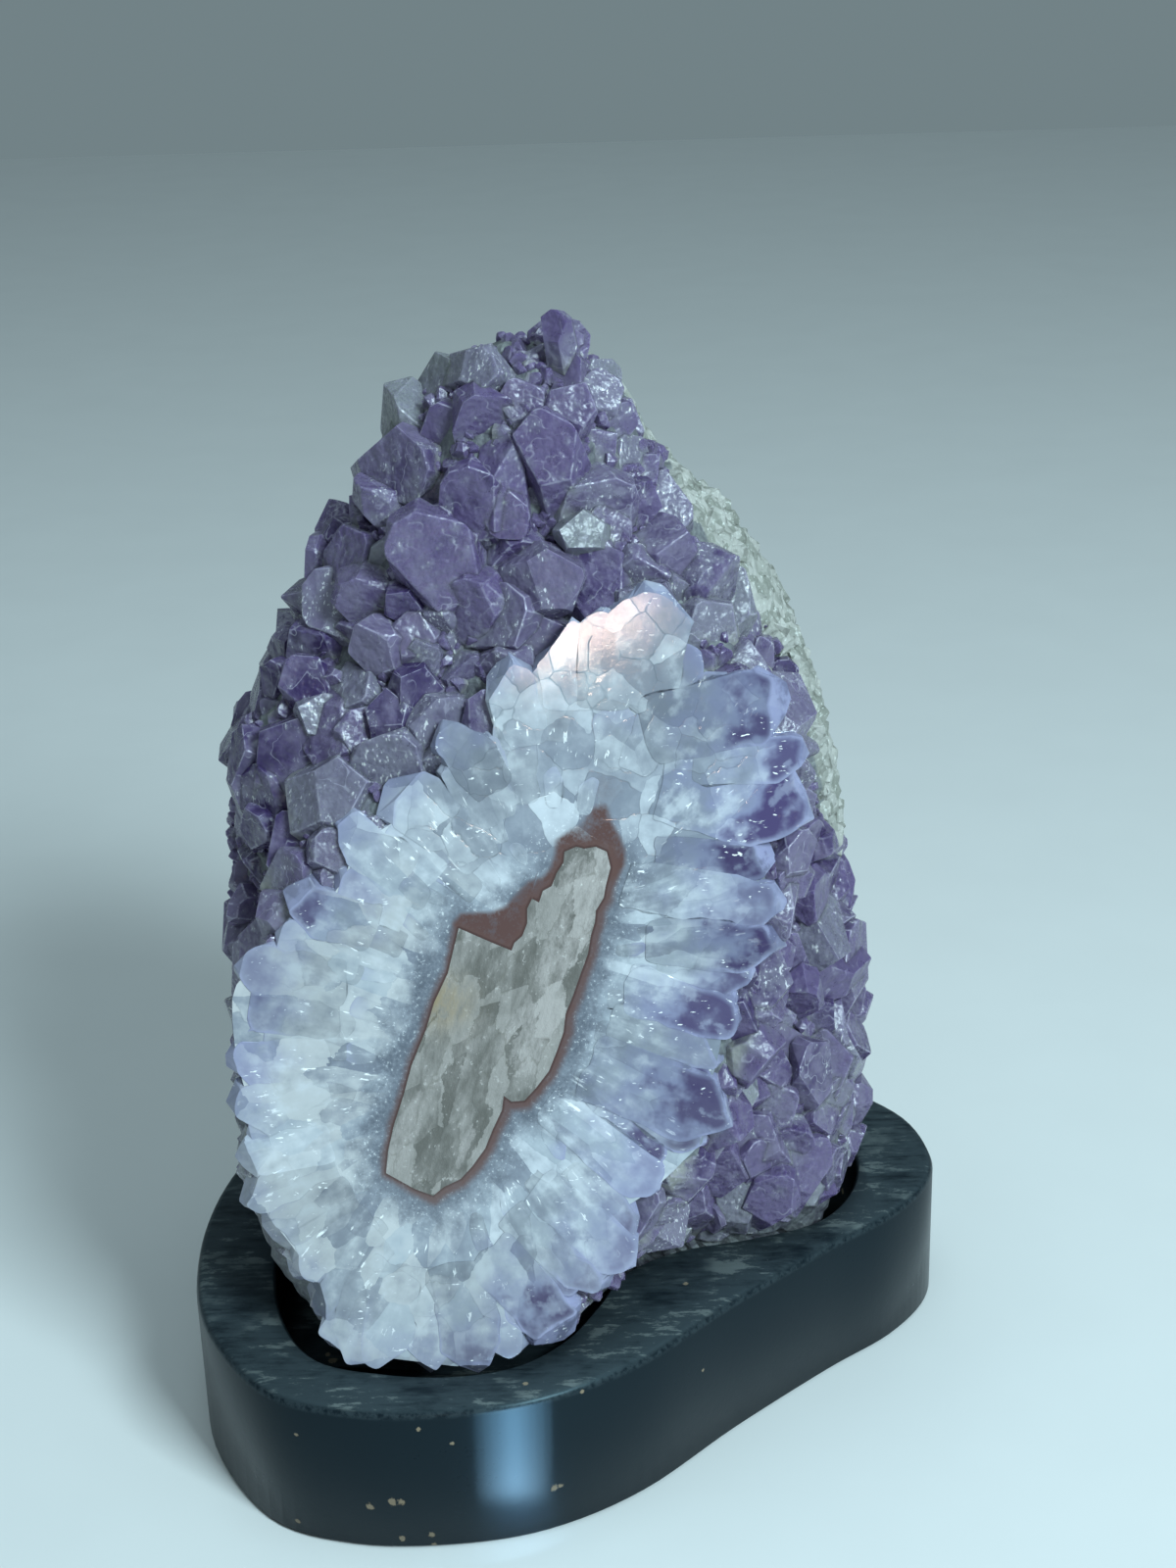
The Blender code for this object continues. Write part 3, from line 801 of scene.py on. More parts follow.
def matrix_paint():
    paint = Paint("matrix")
    place = paint.place()
    grain = paint.cells(place, 1.5)
    tone = paint.parts(paint.cells(place, 1.9, output="Color"))
    soft = paint.noise(place, 6.0, 5, 0.65)
    fine = paint.noise(place, 0.9, 5, 0.7)
    granular = paint.mix(MATRIX_GREEN, MATRIX_PALE, (tone[0] * 0.7 + soft * 0.9 - 0.4).step(0.1, 0.7))
    # Darker where the grains meet, low in the bump: painted shade in the crevices between grains
    granular = paint.mix(granular, (0.10, 0.10, 0.085), (grain * 0.7 + soft * 0.5).step(0.72, 0.85) * 0.6)
    granular = paint.mix(granular, (0.75, 0.78, 0.74), fine.step(0.56, 0.68) * 0.7)
    skin = paint.mix(SKIN_BROWN, SKIN_OLIVE, soft.step(0.4, 0.62))
    skin = paint.mix(skin, SKIN_GREY, paint.noise(place, 17.0, 4, 0.6).step(0.48, 0.6) * 0.85)
    skin = paint.mix(skin, FLOOR_DARK, grain.step(0.25, 0.05) * fine.step(0.4, 0.6) * 0.5)
    skin = paint.mix(skin, (0.27, 0.23, 0.15), fine.step(0.52, 0.74) * 0.6)
    floor = paint.mix(FLOOR_DARK, FLOOR_GREY, (soft * 0.9 + fine * 0.5 - 0.25).step(0.2, 0.7))
    floor = paint.mix(floor, (0.42, 0.44, 0.42), fine.step(0.58, 0.74) * 0.5)
    colour = paint.mix(floor, granular, (paint.attribute("matrix") + (soft - 0.5) * 0.3).step(0.4, 0.6))
    colour = paint.mix(colour, skin, (paint.attribute("skin") + (soft - 0.5) * 0.7 + (fine - 0.5) * 0.2).step(0.42, 0.56))
    bump = paint.bump(grain * -0.7 + fine * 0.7, 0.6, 0.6)
    return paint.finish(colour, fine * 0.4 + 0.35, bump, IOR=QUARTZ_IOR)


CALCITE = calcite_paint()
MATRIX = matrix_paint()

# %% [markdown]
# The stand is painted black. Its top is scuffed and dusty grey-green along the grain, the side keeps a half
# gloss, and bare wood shows in specks where the pocket's edge was knocked. Height and the way a surface
# faces pick the zone, so that the same paint covers the whole slab.

# %% Painted wood
PAINT_BLACK = (0.005, 0.009, 0.013)
PAINT_WORN = (0.030, 0.041, 0.048)
PAINT_SCUFF = (0.125, 0.145, 0.145)
BARE_WOOD = (0.38, 0.29, 0.19)
# Knocked places in the photograph, with a radius in mm
KNOCKS = [
    ((378, 1537), 0.7), ((400, 1533), 0.8), ((409, 1533), 0.7), ((410, 1570), 0.5), ((440, 1566), 0.6),
    ((444, 1576), 0.5), ((302, 1464), 0.45), ((304, 1552), 0.5), ((427, 1458), 0.4), ((461, 1473), 0.4),
    ((566, 1518), 0.7), ((572, 1516), 0.5), ((594, 1420), 0.35), ((717, 1398), 0.4), ((340, 1388), 0.8),
    ((334, 1382), 0.6), ((700, 1310), 0.5), ((860, 1216), 0.6), ((536, 1412), 0.5), ((395, 1588), 0.5),
]


def knocked_places():
    """Where the camera sees these knocks on the stand's solid."""
    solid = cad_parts["wood_stand"]
    places = []
    for pixel, radius in KNOCKS:
        hit = solid.ray_cast(Vector(CAMERA_PLACE) * MM, Vector(sight([pixel])[0]))
        if hit[0]:
            places.append((tuple(hit[1] / MM), radius))
    print(len(places), "knocks on the stand")
    return places


def black_wood_paint():
    paint = Paint("black_wood")
    place = paint.place()
    grain = paint.noise(paint.place((9.0, 1.1, 9.0), (0, 0, 0.35)), 1.0, 6, 0.7)
    broad = paint.noise(place, 16.0, 3, 0.6)
    fine = paint.noise(place, 1.0, 5, 0.7)
    facing = paint.node("ShaderNodeNewGeometry", {}, {}, "Normal")
    top = paint.parts(facing)[2].step(0.6, 0.95)
    height = paint.parts(place)[2]
    blotch = paint.noise(paint.place((2.2, 1.0, 2.0), (0, 0, 0.35)), 5.0, 6, 0.72)
    worn = paint.mix(PAINT_BLACK, PAINT_WORN, (broad * 0.7 + blotch * 0.7 + (grain - 0.5) * 0.6).step(0.45, 0.75))
    scuff = (blotch + (grain - 0.5) * 0.4).step(0.53, 0.6) * broad.step(0.38, 0.56)
    worn = paint.mix(worn, PAINT_SCUFF, scuff * 0.75)
    worn = paint.mix(worn, PAINT_SCUFF, fine.step(0.64, 0.74) * 0.7)
    colour = paint.mix(PAINT_BLACK, worn, top)
    rubbed = height.step(26.2, 27.2) * (1 - top)
    colour = paint.mix(colour, PAINT_WORN, rubbed * fine.step(0.35, 0.6) * 0.8)
    specks = fine.step(0.71, 0.76) * (1 - top) * broad.step(0.5, 0.65) * 0.35
    colour = paint.mix(colour, PAINT_SCUFF, specks)
    nearest = None
    for spot, radius in knocked_places():
        away = paint.node("ShaderNodeVectorMath", {"operation": "DISTANCE"}, {0: place, 1: spot}, "Value") / radius
        nearest = away if nearest is None else nearest.math("MINIMUM", away)
    chips = (nearest + (fine - 0.5) * 3.2).step(1.1, 0.6)
    knocked = (paint.attribute("pocket_edge") + fine * 0.12).step(0.95, 1.03) * paint.noise(place, 6.0, 2).step(0.5, 0.56)
    colour = paint.mix(colour, BARE_WOOD, (chips * 0.55 + knocked * 0.8).clamp())
    gloss = top * (grain * 0.25 + 0.18) + broad * 0.12 + fine * 0.08 + 0.2
    bump = paint.bump(grain * top + fine * 0.25 + chips * -2.0, 0.3, 0.25)
    return paint.finish(colour, gloss.clamp(), bump, IOR=1.5, Specular_IOR_Level=0.2,
                        Specular_Tint=(0.6, 0.88, 1.0, 1.0), Anisotropic=0.5, Anisotropic_Rotation=0.25)


BLACK_WOOD = black_wood_paint()
print(len(bpy.data.materials), "materials")

# %% [markdown]
# A crystal is a solid cut by planes: six sides, six sloping end faces of which three are larger, and a root.
# Listing the planes and keeping the corners that lie behind all of them gives true quartz forms, and the
# polished face or the stand's top is just one more plane. A small bevel then wears the natural edges, and
# rings in a cut face carry how far inside its border a point is.

# %% Crystal solids
SLOPE = math.radians(51.8)
NATURAL, POLISH = 0, 1
CUT_RINGS = (0.93, 0.84, 0.7, 0.45)
OUTLINE_STEP = 1.4
BORDER_SWAY = 0.9
CRYSTAL_VALUES = ("tone", "purple", "milk")


def crystal_planes(half_width, height, root, dice, flatness, taper, front=None, lead=0.2):
    """(normal, distance, kind) of each plane, with +Z along the crystal and its foot at zero.

    Front is the direction round the axis, in radians, that the largest end face is turned to. Lead is how far
    that face is set back, in half widths.
    """
    planes = []
    offset = dice.uniform(0.0, 1.0) if front is None else math.degrees(front) / 60
    leading = 2 * dice.randrange(3) if front is None else 0
    for k in range(6):
        angle = math.radians(60 * (k + offset) + dice.uniform(-5, 5))
        cos, sin = math.cos(angle), math.sin(angle)
        side = half_width * dice.uniform(0.8, 1.18)
        planes.append((np.array([cos, sin, taper]), side, NATURAL))
        slope = SLOPE - flatness if k % 2 == 0 else SLOPE - flatness * 1.9 - 0.1
        if k == leading:
            slope = SLOPE
            shift = -lead
        else:
            shift = dice.uniform(0.0, 0.3) if k % 2 == 0 else dice.uniform(0.02, 0.2)
        normal = np.array([cos * math.sin(slope), sin * math.sin(slope), math.cos(slope)])
        planes.append((normal, math.cos(slope) * height + shift * half_width, NATURAL))
    planes.append((np.array([0.0, 0.0, -1.0]), root, NATURAL))
    return planes


def solid_faces(planes):
    """Corners, and for each plane its ring of corners, of the solid behind all planes."""
    normals = np.array([plane[0] / np.linalg.norm(plane[0]) for plane in planes])
    limits = np.array([plane[1] / np.linalg.norm(plane[0]) for plane in planes])
    index = np.array([(a, b, c) for a in range(len(planes)) for b in range(a) for c in range(b)])
    triples = normals[index]
    sound = np.abs(np.linalg.det(triples)) > 1e-4
    corners = np.linalg.solve(triples[sound], limits[index[sound]][..., None])[..., 0]
    inside = (corners @ normals.T <= limits + 1e-6).all(axis=1)
    corners = np.unique(corners[inside].round(4), axis=0)
    rings = []
    for normal, limit in zip(normals, limits):
        on_plane = np.flatnonzero(np.abs(corners @ normal - limit) < 2e-3)
        if len(on_plane) < 3:
            rings.append([])
            continue
        away = corners[on_plane] - corners[on_plane].mean(axis=0)
        first = away[0] / max(np.linalg.norm(away[0]), 1e-9)
        second = np.cross(normal, first)
        rings.append([int(i) for i in on_plane[np.argsort(np.arctan2(away @ second, away @ first))]])
    return corners, rings


def split_border(bm):
    """Adds corners along the border of each cut face, so that it can be rounded."""
    for face in [face for face in bm.faces if face.material_index == POLISH]:
        long = list(face.edges)
        while long:
            for edge in long:
                bmesh.utils.edge_split(edge, edge.verts[0], 0.5)
            long = [edge for edge in face.edges if edge.calc_length() > OUTLINE_STEP]


def round_border(face, steps, sway):
    """Rounds the corners of a cut face and bends its border a little, within its plane."""
    normal = np.array(face.normal)
    places = np.array([vert.co for vert in face.verts])
    for _ in range(steps):
        places = places * 0.5 + (np.roll(places, 1, axis=0) + np.roll(places, -1, axis=0)) * 0.25
    for vert, place in zip(face.verts, places):
        shift = np.array(noise.noise_vector(Vector(place) / 3.2 + sway)) * BORDER_SWAY
        vert.co = place + shift - normal * (shift @ normal)


def distance_to_outline(points, outline):
    """How far each point is from the closed line through these corners."""
    ahead = np.roll(outline, -1, axis=0) - outline
    away = points[:, None] - outline[None]
    share = np.clip((away * ahead).sum(axis=2) / np.maximum((ahead ** 2).sum(axis=1), 1e-9), 0, 1)
    return np.linalg.norm(away - share[..., None] * ahead, axis=2).min(axis=1)


def ring_cut_face(bm, face, rim):
    """Splits a cut face into rings, and writes how far inside its border each new corner is."""
    border = np.array([vert.co for vert in face.verts])
    centre = border.mean(axis=0)
    outer = list(face.verts)
    bm.faces.remove(face)
    for share in CUT_RINGS:
        places = centre + (border - centre) * share
        inner = [bm.verts.new(place) for place in places]
        for vert, inside_by in zip(inner, distance_to_outline(places, border)):
            vert[rim] = inside_by
        for i in range(len(outer)):
            j = (i + 1) % len(outer)
            bm.faces.new((outer[i], outer[j], inner[j], inner[i])).material_index = POLISH
        outer = inner
    hub = bm.verts.new(centre)
    hub[rim] = distance_to_outline(centre[None], border)[0]
    for i in range(len(outer)):
        bm.faces.new((outer[i], outer[(i + 1) % len(outer)], hub)).material_index = POLISH


class CrystalHeap:
    """Gathers crystals into one mesh, each with its own look."""

    def __init__(self):
        self.points, self.faces, self.kinds, self.edges = [], [], [], []
        self.values = {name: [] for name in ("along", "rim", *CRYSTAL_VALUES)}

    def add(self, foot, axis, form, look, dice, cuts=(), wear=0.22, front=None, rounding=0, lead=0.2,
            ground=None):
        """One crystal. Form is its half width, height, root, flatness and taper, and look its three values.

        Front is where its largest end face looks. Rounding is how often its cut outline is smoothed. Ground is
        a point of the surface that it stands on, and the normal there.
        """
        turn = np.array(Vector(axis).to_track_quat("Z", "Y").to_matrix())
        half_width, height, root, flatness, taper = form
        if front is not None:
            way = front @ turn
            front = math.atan2(way[1], way[0])
        planes = crystal_planes(half_width, height, root, dice, flatness, taper, front, lead)
        for normal, distance, kind in cuts:
            planes.append((normal @ turn, distance - normal @ foot, kind))
        corners, rings = solid_faces(planes)
        if len(corners) < 6:
            return len(self.points)
        bm = bmesh.new()
        rim = bm.verts.layers.float.new("rim")
        verts = [bm.verts.new(corner) for corner in corners]
        for ring, plane in zip(rings, planes):
            if len(ring) > 2:
                bm.faces.new([verts[i] for i in ring]).material_index = plane[2]
        if rounding:
            split_border(bm)
        natural = [edge for edge in bm.edges if all(face.material_index == NATURAL for face in edge.link_faces)]
        made = bmesh.ops.bevel(bm, geom=natural, offset=wear, segments=1, profile=0.6, affect="EDGES",
                               clamp_overlap=True)
        worn = set(made["faces"])
        bm.normal_update()
        for face in [face for face in bm.faces if face.material_index == POLISH]:
            if rounding:
                round_border(face, rounding, Vector(foot))
            ring_cut_face(bm, face, rim)
        edge_strength = dice.uniform(0.1, 1.0)
        first = len(self.points)
        for i, vert in enumerate(bm.verts):
            vert.index = i
            local = np.array(vert.co)
            self.points.append(foot + turn @ local)
            share = (local[2] + 1.0) / (height + 1.0)
            if ground is not None:
                share = 0.25 + float((self.points[-1] - ground[0]) @ ground[1]) / half_width
            self.values["along"].append(max(0.0, min(1.0, share)))
            self.values["rim"].append(vert[rim])
            for name, value in zip(CRYSTAL_VALUES, look):
                self.values[name].append(value)
        for face in bm.faces:
            self.faces.append([first + vert.index for vert in face.verts])
            self.kinds.append(face.material_index)
            self.edges.append(edge_strength if face in worn else 0.0)
        bm.free()
        return first

    def to_object(self, name, materials):
        mesh = bpy.data.meshes.new(name)
        points = np.array(self.points)
        mesh.from_pydata((points * MM).tolist(), [], self.faces)
        self.values["core_distance"] = distance_to_core(to_face(points)[:, :2])
        for value, numbers in self.values.items():
            mesh.attributes.new(value, "FLOAT", "POINT").data.foreach_set("value", numbers)
        mesh.attributes.new("edge", "FLOAT", "FACE").data.foreach_set("value", self.edges)
        for made in materials:
            mesh.materials.append(made)
        mesh.polygons.foreach_set("material_index", self.kinds)
        obj = bpy.data.objects.new(name, mesh)
        bpy.context.scene.collection.objects.link(obj)
        print(f"{name}: {len(self.faces)} faces")
        return obj


# %% [markdown]
# The crystals that give the druse its look are placed where the photograph shows their tips, with a half
# width in millimetres. Each stands on the place of the mass from which its tip meets that pixel.

# %% Crystals placed one by one
# Tip pixel in the photograph, half width in mm, purple, frost
DRUSE_TIPS = [
    ((425, 560), 8.2, 0.6, 0.1), ((408, 478), 7.0, 0.7, 0.3), ((350, 498), 5.8, 0.55, 0.2), ((345, 655), 7.0, 0.5, 0.1),
    ((402, 420), 6.6, 0.12, 0.2), ((500, 425), 5.6, 0.65, 0.1), ((548, 452), 5.6, 0.6, 0.1), ((556, 505), 6.2, 0.55, 0.3),
    ((492, 490), 5.6, 0.7, 0.1), ((628, 492), 7.2, 0.6, 0.5), ((678, 480), 4.6, 0.6, 0.1), ((684, 556), 5.6, 0.7, 0.1),
    ((612, 568), 5.8, 0.8, 0.1), ((522, 556), 4.8, 0.65, 0.3), ((515, 625), 6.0, 0.45, 0.5), ((592, 618), 4.8, 0.3, 0.6),
    ((722, 618), 5.6, 0.5, 0.6), ((585, 405), 4.4, 0.7, 0.1), ((488, 378), 5.8, 0.25, 1.0), ((562, 350), 4.2, 0.6, 0.6),
    ((590, 366), 3.8, 0.7, 0.2), ((622, 380), 4.2, 0.15, 0.6), ((350, 560), 5.4, 0.5, 0.1), ((318, 570), 4.4, 0.35, 0.3),
    ((322, 725), 4.0, 0.2, 0.9), ((366, 700), 4.6, 0.25, 0.6), ((412, 700), 4.6, 0.97, 0.0), ((285, 655), 4.6, 0.1, 0.5),
    ((245, 765), 5.8, 0.5, 0.2), ((302, 805), 6.4, 0.85, 0.2), ((372, 748), 5.2, 0.5, 0.4), ((298, 885), 5.0, 0.95, 0.1),
    ((330, 862), 4.6, 0.6, 0.5), ((382, 640), 5.0, 0.6, 0.1), ((452, 620), 3.6, 0.7, 0.9), ((768, 640), 4.6, 0.55, 0.5),
    ((800, 690), 3.4, 0.97, 0.0), ((802, 738), 3.8, 0.3, 0.8), ((640, 420), 5.2, 0.35, 0.4), ((455, 530), 4.4, 0.6, 0.1),
    ((440, 375), 4.8, 0.08, 0.3), ((365, 430), 4.0, 0.08, 0.3), ((335, 460), 4.2, 0.4, 0.2), ((470, 680), 4.0, 0.3, 0.6),
    ((300, 690), 4.8, 0.25, 0.4), ((270, 715), 4.4, 0.2, 0.3), ((430, 660), 4.2, 0.25, 0.3), ((610, 530), 4.2, 0.6, 0.3),
    ((650, 455), 4.0, 0.3, 0.9), ((655, 520), 4.4, 0.7, 0.2), ((478, 560), 4.4, 0.6, 0.1), ((420, 640), 4.6, 0.5, 0.2),
    ((826, 850), 5.0, 0.8, 0.1), ((826, 912), 5.4, 0.65, 0.1), ((786, 882), 3.4, 0.9, 0.1), ((866, 930), 5.6, 0.45, 0.2),
    ((866, 1010), 5.8, 0.4, 0.1), ((822, 1012), 5.6, 0.55, 0.1), ((788, 1012), 5.0, 0.85, 0.0), ((852, 1072), 6.0, 0.5, 0.2),
    ((802, 1062), 4.6, 0.7, 0.1), ((760, 1112), 5.2, 0.7, 0.1), ((800, 1122), 5.8, 0.65, 0.1), ((862, 1112), 5.0, 0.3, 0.3),
    ((770, 1162), 4.6, 0.7, 0.1), ((830, 1182), 5.6, 0.4, 0.1), ((800, 1214), 5.4, 0.4, 0.1), ((752, 1210), 5.4, 0.2, 0.3),
    ((704, 1248), 3.8, 0.05, 0.4), ((664, 1236), 5.0, 0.9, 0.0), ((872, 1160), 3.0, 0.0, 0.9), ((735, 1252), 3.4, 0.05, 0.5),
    ((860, 860), 3.6, 0.55, 0.2), ((760, 1050), 4.6, 0.9, 0.0), ((840, 1140), 4.6, 0.55, 0.1), ((780, 1085), 4.0, 0.75, 0.0),
    ((235, 950), 5.0, 0.95, 0.0), ((230, 1000), 4.8, 0.9, 0.0), ((236, 1040), 4.4, 0.85, 0.1), ((250, 882), 4.8, 0.6, 0.2),
    ((262, 842), 4.4, 0.6, 0.1), ((232, 800), 4.4, 0.4, 0.2), ((564, 326), 2.8, 0.6, 0.4),
]
APEX = [((565, 317), 195.3, 2.6), ((548, 333), 191.0, 2.0), ((586, 332), 191.5, 2.4), ((529, 368), 184.0, 2.4)]
SAMPLES = 16000
DRUSE_TAPER = 0.08
TIP_HEIGHTS = (0.5, 1.4)
TIP_TILTS = (12, 50)
TIP_SINK = 0.6
BEHIND_FACE = 0.3
PAINTED_SHADE_LEFT_OF = -40.0
OUTLINE_SHRINKS = (1.0, 0.88, 0.78)
UP = np.array([0.0, 0.0, 1.0])


def druse_sites():
    """Places on the mass where crystals may stand, and their normals."""
    points = leave_mass(STONE_HEART, even_directions(SAMPLES))
    beyond, _ = beyond_border(points)
    over = (points - FACE_POINT) @ FACE_OUT
    points = points[(over < -0.5) & (beyond > 1.0) & (points[:, 2] > STAND_TOP + 1) | (over < -20)]
    return points, surface_normals(points)


SITES, SITE_NORMALS = druse_sites()


def site_for(pixel, half_width):
    """The index of the place whose crystal would be seen nearest this pixel."""
    middles = SITES + SITE_NORMALS * half_width * 0.5
    seen = facing(SITES, SITE_NORMALS)
    miss = np.linalg.norm(pixel_of(middles) - np.array(pixel), axis=1)
    return int(np.argmin(miss + np.where(seen < -0.1, 400.0, 0.0) - 4.0 * seen))


def plane_cut(normal, point, outward, kind):
    """A cut whose plane is moved out along its normal."""
    return (normal, float(normal @ point) + outward, kind)


STAND_CUT = plane_cut(np.array([0.0, 0.0, -1.0]), np.array([0.0, 0.0, STAND_TOP + GAP]), 0.0, NATURAL)
POCKET_CUT = plane_cut(np.array([0.0, 0.0, -1.0]), np.array([0.0, 0.0, STAND_TOP - 2.5]), 0.0, NATURAL)


def face_cut(outward):
    return plane_cut(FACE_OUT, FACE_POINT, outward, POLISH)


def unit(vector):
    return vector / np.linalg.norm(vector)


DRUSE = CrystalHeap()
PLACED = []


def shake(dice, spread):
    return np.array([dice.gauss(0, spread) for _ in range(3)])


def druse_crystal(site, half_width, look, dice, sway):
    """One natural crystal that leans along the surface and turns its largest end face outwards."""
    spot, normal = SITES[site], SITE_NORMALS[site]
    to_camera = unit(np.array(CAMERA_PLACE) - spot)
    shown = unit(normal * 0.6 + to_camera * 0.6 * max(0.0, float(to_camera @ normal)) + shake(dice, sway))
    upward = UP * 0.7 + normal * 0.3 + shake(dice, 0.5)
    across = unit(upward - shown * (upward @ shown))
    tilt = math.radians(dice.uniform(*TIP_TILTS))
    axis = shown * math.cos(tilt) + across * math.sin(tilt)
    height = half_width * (TIP_SINK + dice.uniform(*TIP_HEIGHTS)) / math.cos(tilt)
    form = (half_width, height, 4.0, dice.uniform(0.0, 0.15), DRUSE_TAPER)
    foot = spot - shown * TIP_SINK * half_width - across * math.sin(tilt) * 0.6 * height
    beyond, angles = beyond_border(spot[None])
    # Crystals on the left above 62 mm get a darker, deeper purple look: painted shade, as that side faces away from the
    # key light
    if spot[0] < PAINTED_SHADE_LEFT_OF and spot[2] > 62:
        look = (look[0] * 0.4, max(look[1], 0.85), look[2] * 0.6)
    if beyond[0] < 24 and spot[1] < 0 and math.degrees(angles[0]) < -95:
        look = (look[0], 0.1, max(look[2], 0.4))
    elif beyond[0] < 9 and math.degrees(angles[0]) > 60:
        look = (look[0], look[1] * 0.45, max(look[2], 0.35))
    lead = dice.uniform(0.08, 0.4)
    first = DRUSE.add(foot, axis, form, look, dice, [STAND_CUT], 0.18, shown, 0, lead, (spot, normal))
    points = np.array(DRUSE.points[first:])
    if len(points):
        points = points - FACE_OUT * max(0.0, float(((points - FACE_POINT) @ FACE_OUT).max()) + BEHIND_FACE)
        root = spot - normal * half_width * 0.5
        for shrink in OUTLINE_SHRINKS:
            fitted = root + (points - root) * shrink
            move = into_outline(fitted)
            if np.linalg.norm(move) < OUTLINE_SLACK:
                break
        points = fitted + move
        points[:, 2] = np.maximum(points[:, 2], STAND_TOP + GAP)
        DRUSE.points[first:] = list(points)
    PLACED.append((*spot, half_width))


def druse_by_eye():
    dice = random.Random(SEED)
    for pixel, half_width, purple, milk in DRUSE_TIPS:
        druse_crystal(site_for(pixel, half_width), half_width, (dice.random(), purple, milk), dice, 0.17)


def apex_crystals():
    """Slender crystals that stand upright on the very top. Each has a tip pixel, a tip height and a half width."""
    dice = random.Random(SEED + 6)
    for pixel, tip_height, half_width in APEX:
        ray = sight([pixel])[0]
        tip = np.array(CAMERA_PLACE) + ray * (tip_height - CAMERA_PLACE[2]) / ray[2]
        axis = unit(np.array([dice.gauss(0, 0.12), -0.25, 1.0]))
        height = half_width * 3.2
        look = (dice.random(), dice.uniform(0.4, 0.75), 0.3)
        DRUSE.add(tip - axis * height, axis, (half_width, height, 4.0, 0.1, 0.05), look, dice, wear=0.18)
        print("apex crystal at", tip.round(1))


druse_by_eye()
apex_crystals()
print(len(PLACED), "crystals placed by eye")

# %% [markdown]
# Between those, and on the sides and the top that the photograph doesn't show, crystals of smaller sizes
# stand wherever there is room.

# %% Crystals between
# (half width, least share of the two half widths between neighbours)
BETWEEN_TIERS = [(6.2, 0.62), (5.0, 0.6), (3.8, 0.6), (2.8, 0.66)]


def fill_druse():
    dice = random.Random(SEED + 1)
    order = list(np.flatnonzero(bears_crystals(SITES, SITE_NORMALS, 15.0)))
    for half_width, share in BETWEEN_TIERS:
        dice.shuffle(order)
        for site in order:
            placed = np.array(PLACED)
            near = np.linalg.norm(placed[:, :3] - SITES[site], axis=1)
            if (near < share * (placed[:, 3] + half_width)).any():
                continue
            size = half_width * dice.uniform(0.88, 1.12)
            milk = dice.random() ** 3
            look = (dice.random(), min(1.0, max(0.0, dice.gauss(0.55, 0.2))), milk)
            druse_crystal(site, size, look, dice, 0.22)


fill_druse()
print(len(PLACED), "crystals in the druse")
druse = DRUSE.to_object("druse_crystals", [AMETHYST, CUT_CRYSTAL])

# %% [markdown]
# Around the polished face stand crystals that were sliced lengthwise. The large ones on the right and along
# the bottom are placed by their tip and root in the photograph. Others fill the border and the ground
# between the core and the border, each pointing the way the quartz grew. Each cut lies a hair in front of
# or behind its neighbours, so that no two cuts share one plane.

# %% Crystals sliced by the polished face
# Tip pixel, root pixel, half width in mm, purple, frost
SLICED = [
    ((744, 1152), (600, 1090), 7.4, 0.95, 0.1), ((800, 932), (640, 904), 4.9, 0.6, 0.2),
    ((799, 972), (662, 958), 4.4, 0.85, 0.0), ((752, 1040), (640, 1008), 4.6, 0.95, 0.1),
    ((736, 1080), (625, 1045), 3.2, 0.5, 0.5), ((668, 1212), (560, 1125), 4.6, 0.5, 0.0),
    ((642, 1292), (548, 1215), 4.4, 0.55, 0.1), ((612, 1318), (520, 1240), 3.8, 0.6, 0.3),
    ((578, 1368), (498, 1275), 5.0, 0.95, 0.0), ((492, 1402), (468, 1290), 6.2, 0.6, 0.1),
    ((435, 1402), (432, 1295), 4.8, 0.3, 0.5), ((388, 1396), (405, 1300), 4.2, 0.15, 0.6),
    ((355, 1390), (380, 1300), 4.0, 0.1, 0.6), ((826, 832), (680, 795), 7.2, 0.85, 0.0),
    ((806, 712), (660, 745), 6.8, 0.7, 0.0), ((668, 598), (645, 715), 7.8, 0.1, 0.25),
    ((578, 632), (582, 722), 5.4, 0.1, 0.7), ((624, 624), (616, 722), 5.6, 0.1, 0.7), ((512, 672), (535, 760), 4.8, 0.2, 0.4),
    ((455, 735), (500, 810), 4.8, 0.3, 0.2), ((398, 800), (462, 850), 5.2, 0.3, 0.2),
    ((335, 842), (415, 890), 4.8, 0.45, 0.3), ((290, 915), (385, 945), 4.8, 0.7, 0.1),
    ((240, 985), (350, 1000), 5.0, 0.5, 0.2), ((243, 1030), (345, 1040), 4.2, 0.55, 0.3),
    ((232, 1085), (335, 1082), 4.6, 0.45, 0.0), ((234, 1135), (335, 1128), 5.0, 0.05, 0.2),
    ((240, 1185), (335, 1165), 4.6, 0.0, 0.6), ((244, 1222), (340, 1190), 4.4, 0.0, 0.5),
    ((272, 1262), (355, 1215), 4.4, 0.0, 0.4), ((294, 1302), (370, 1235), 4.4, 0.0, 0.2),
    ((318, 1342), (390, 1265), 4.6, 0.0, 0.4), ((335, 1372), (398, 1290), 4.0, 0.1, 0.5),
    ((712, 665), (655, 725), 3.8, 0.4, 0.1), ((822, 775), (710, 775), 4.4, 0.7, 0.0),
    ((789, 878), (670, 868), 3.4, 0.95, 0.0), ((262, 1060), (350, 1064), 3.4, 0.05, 0.4),
]
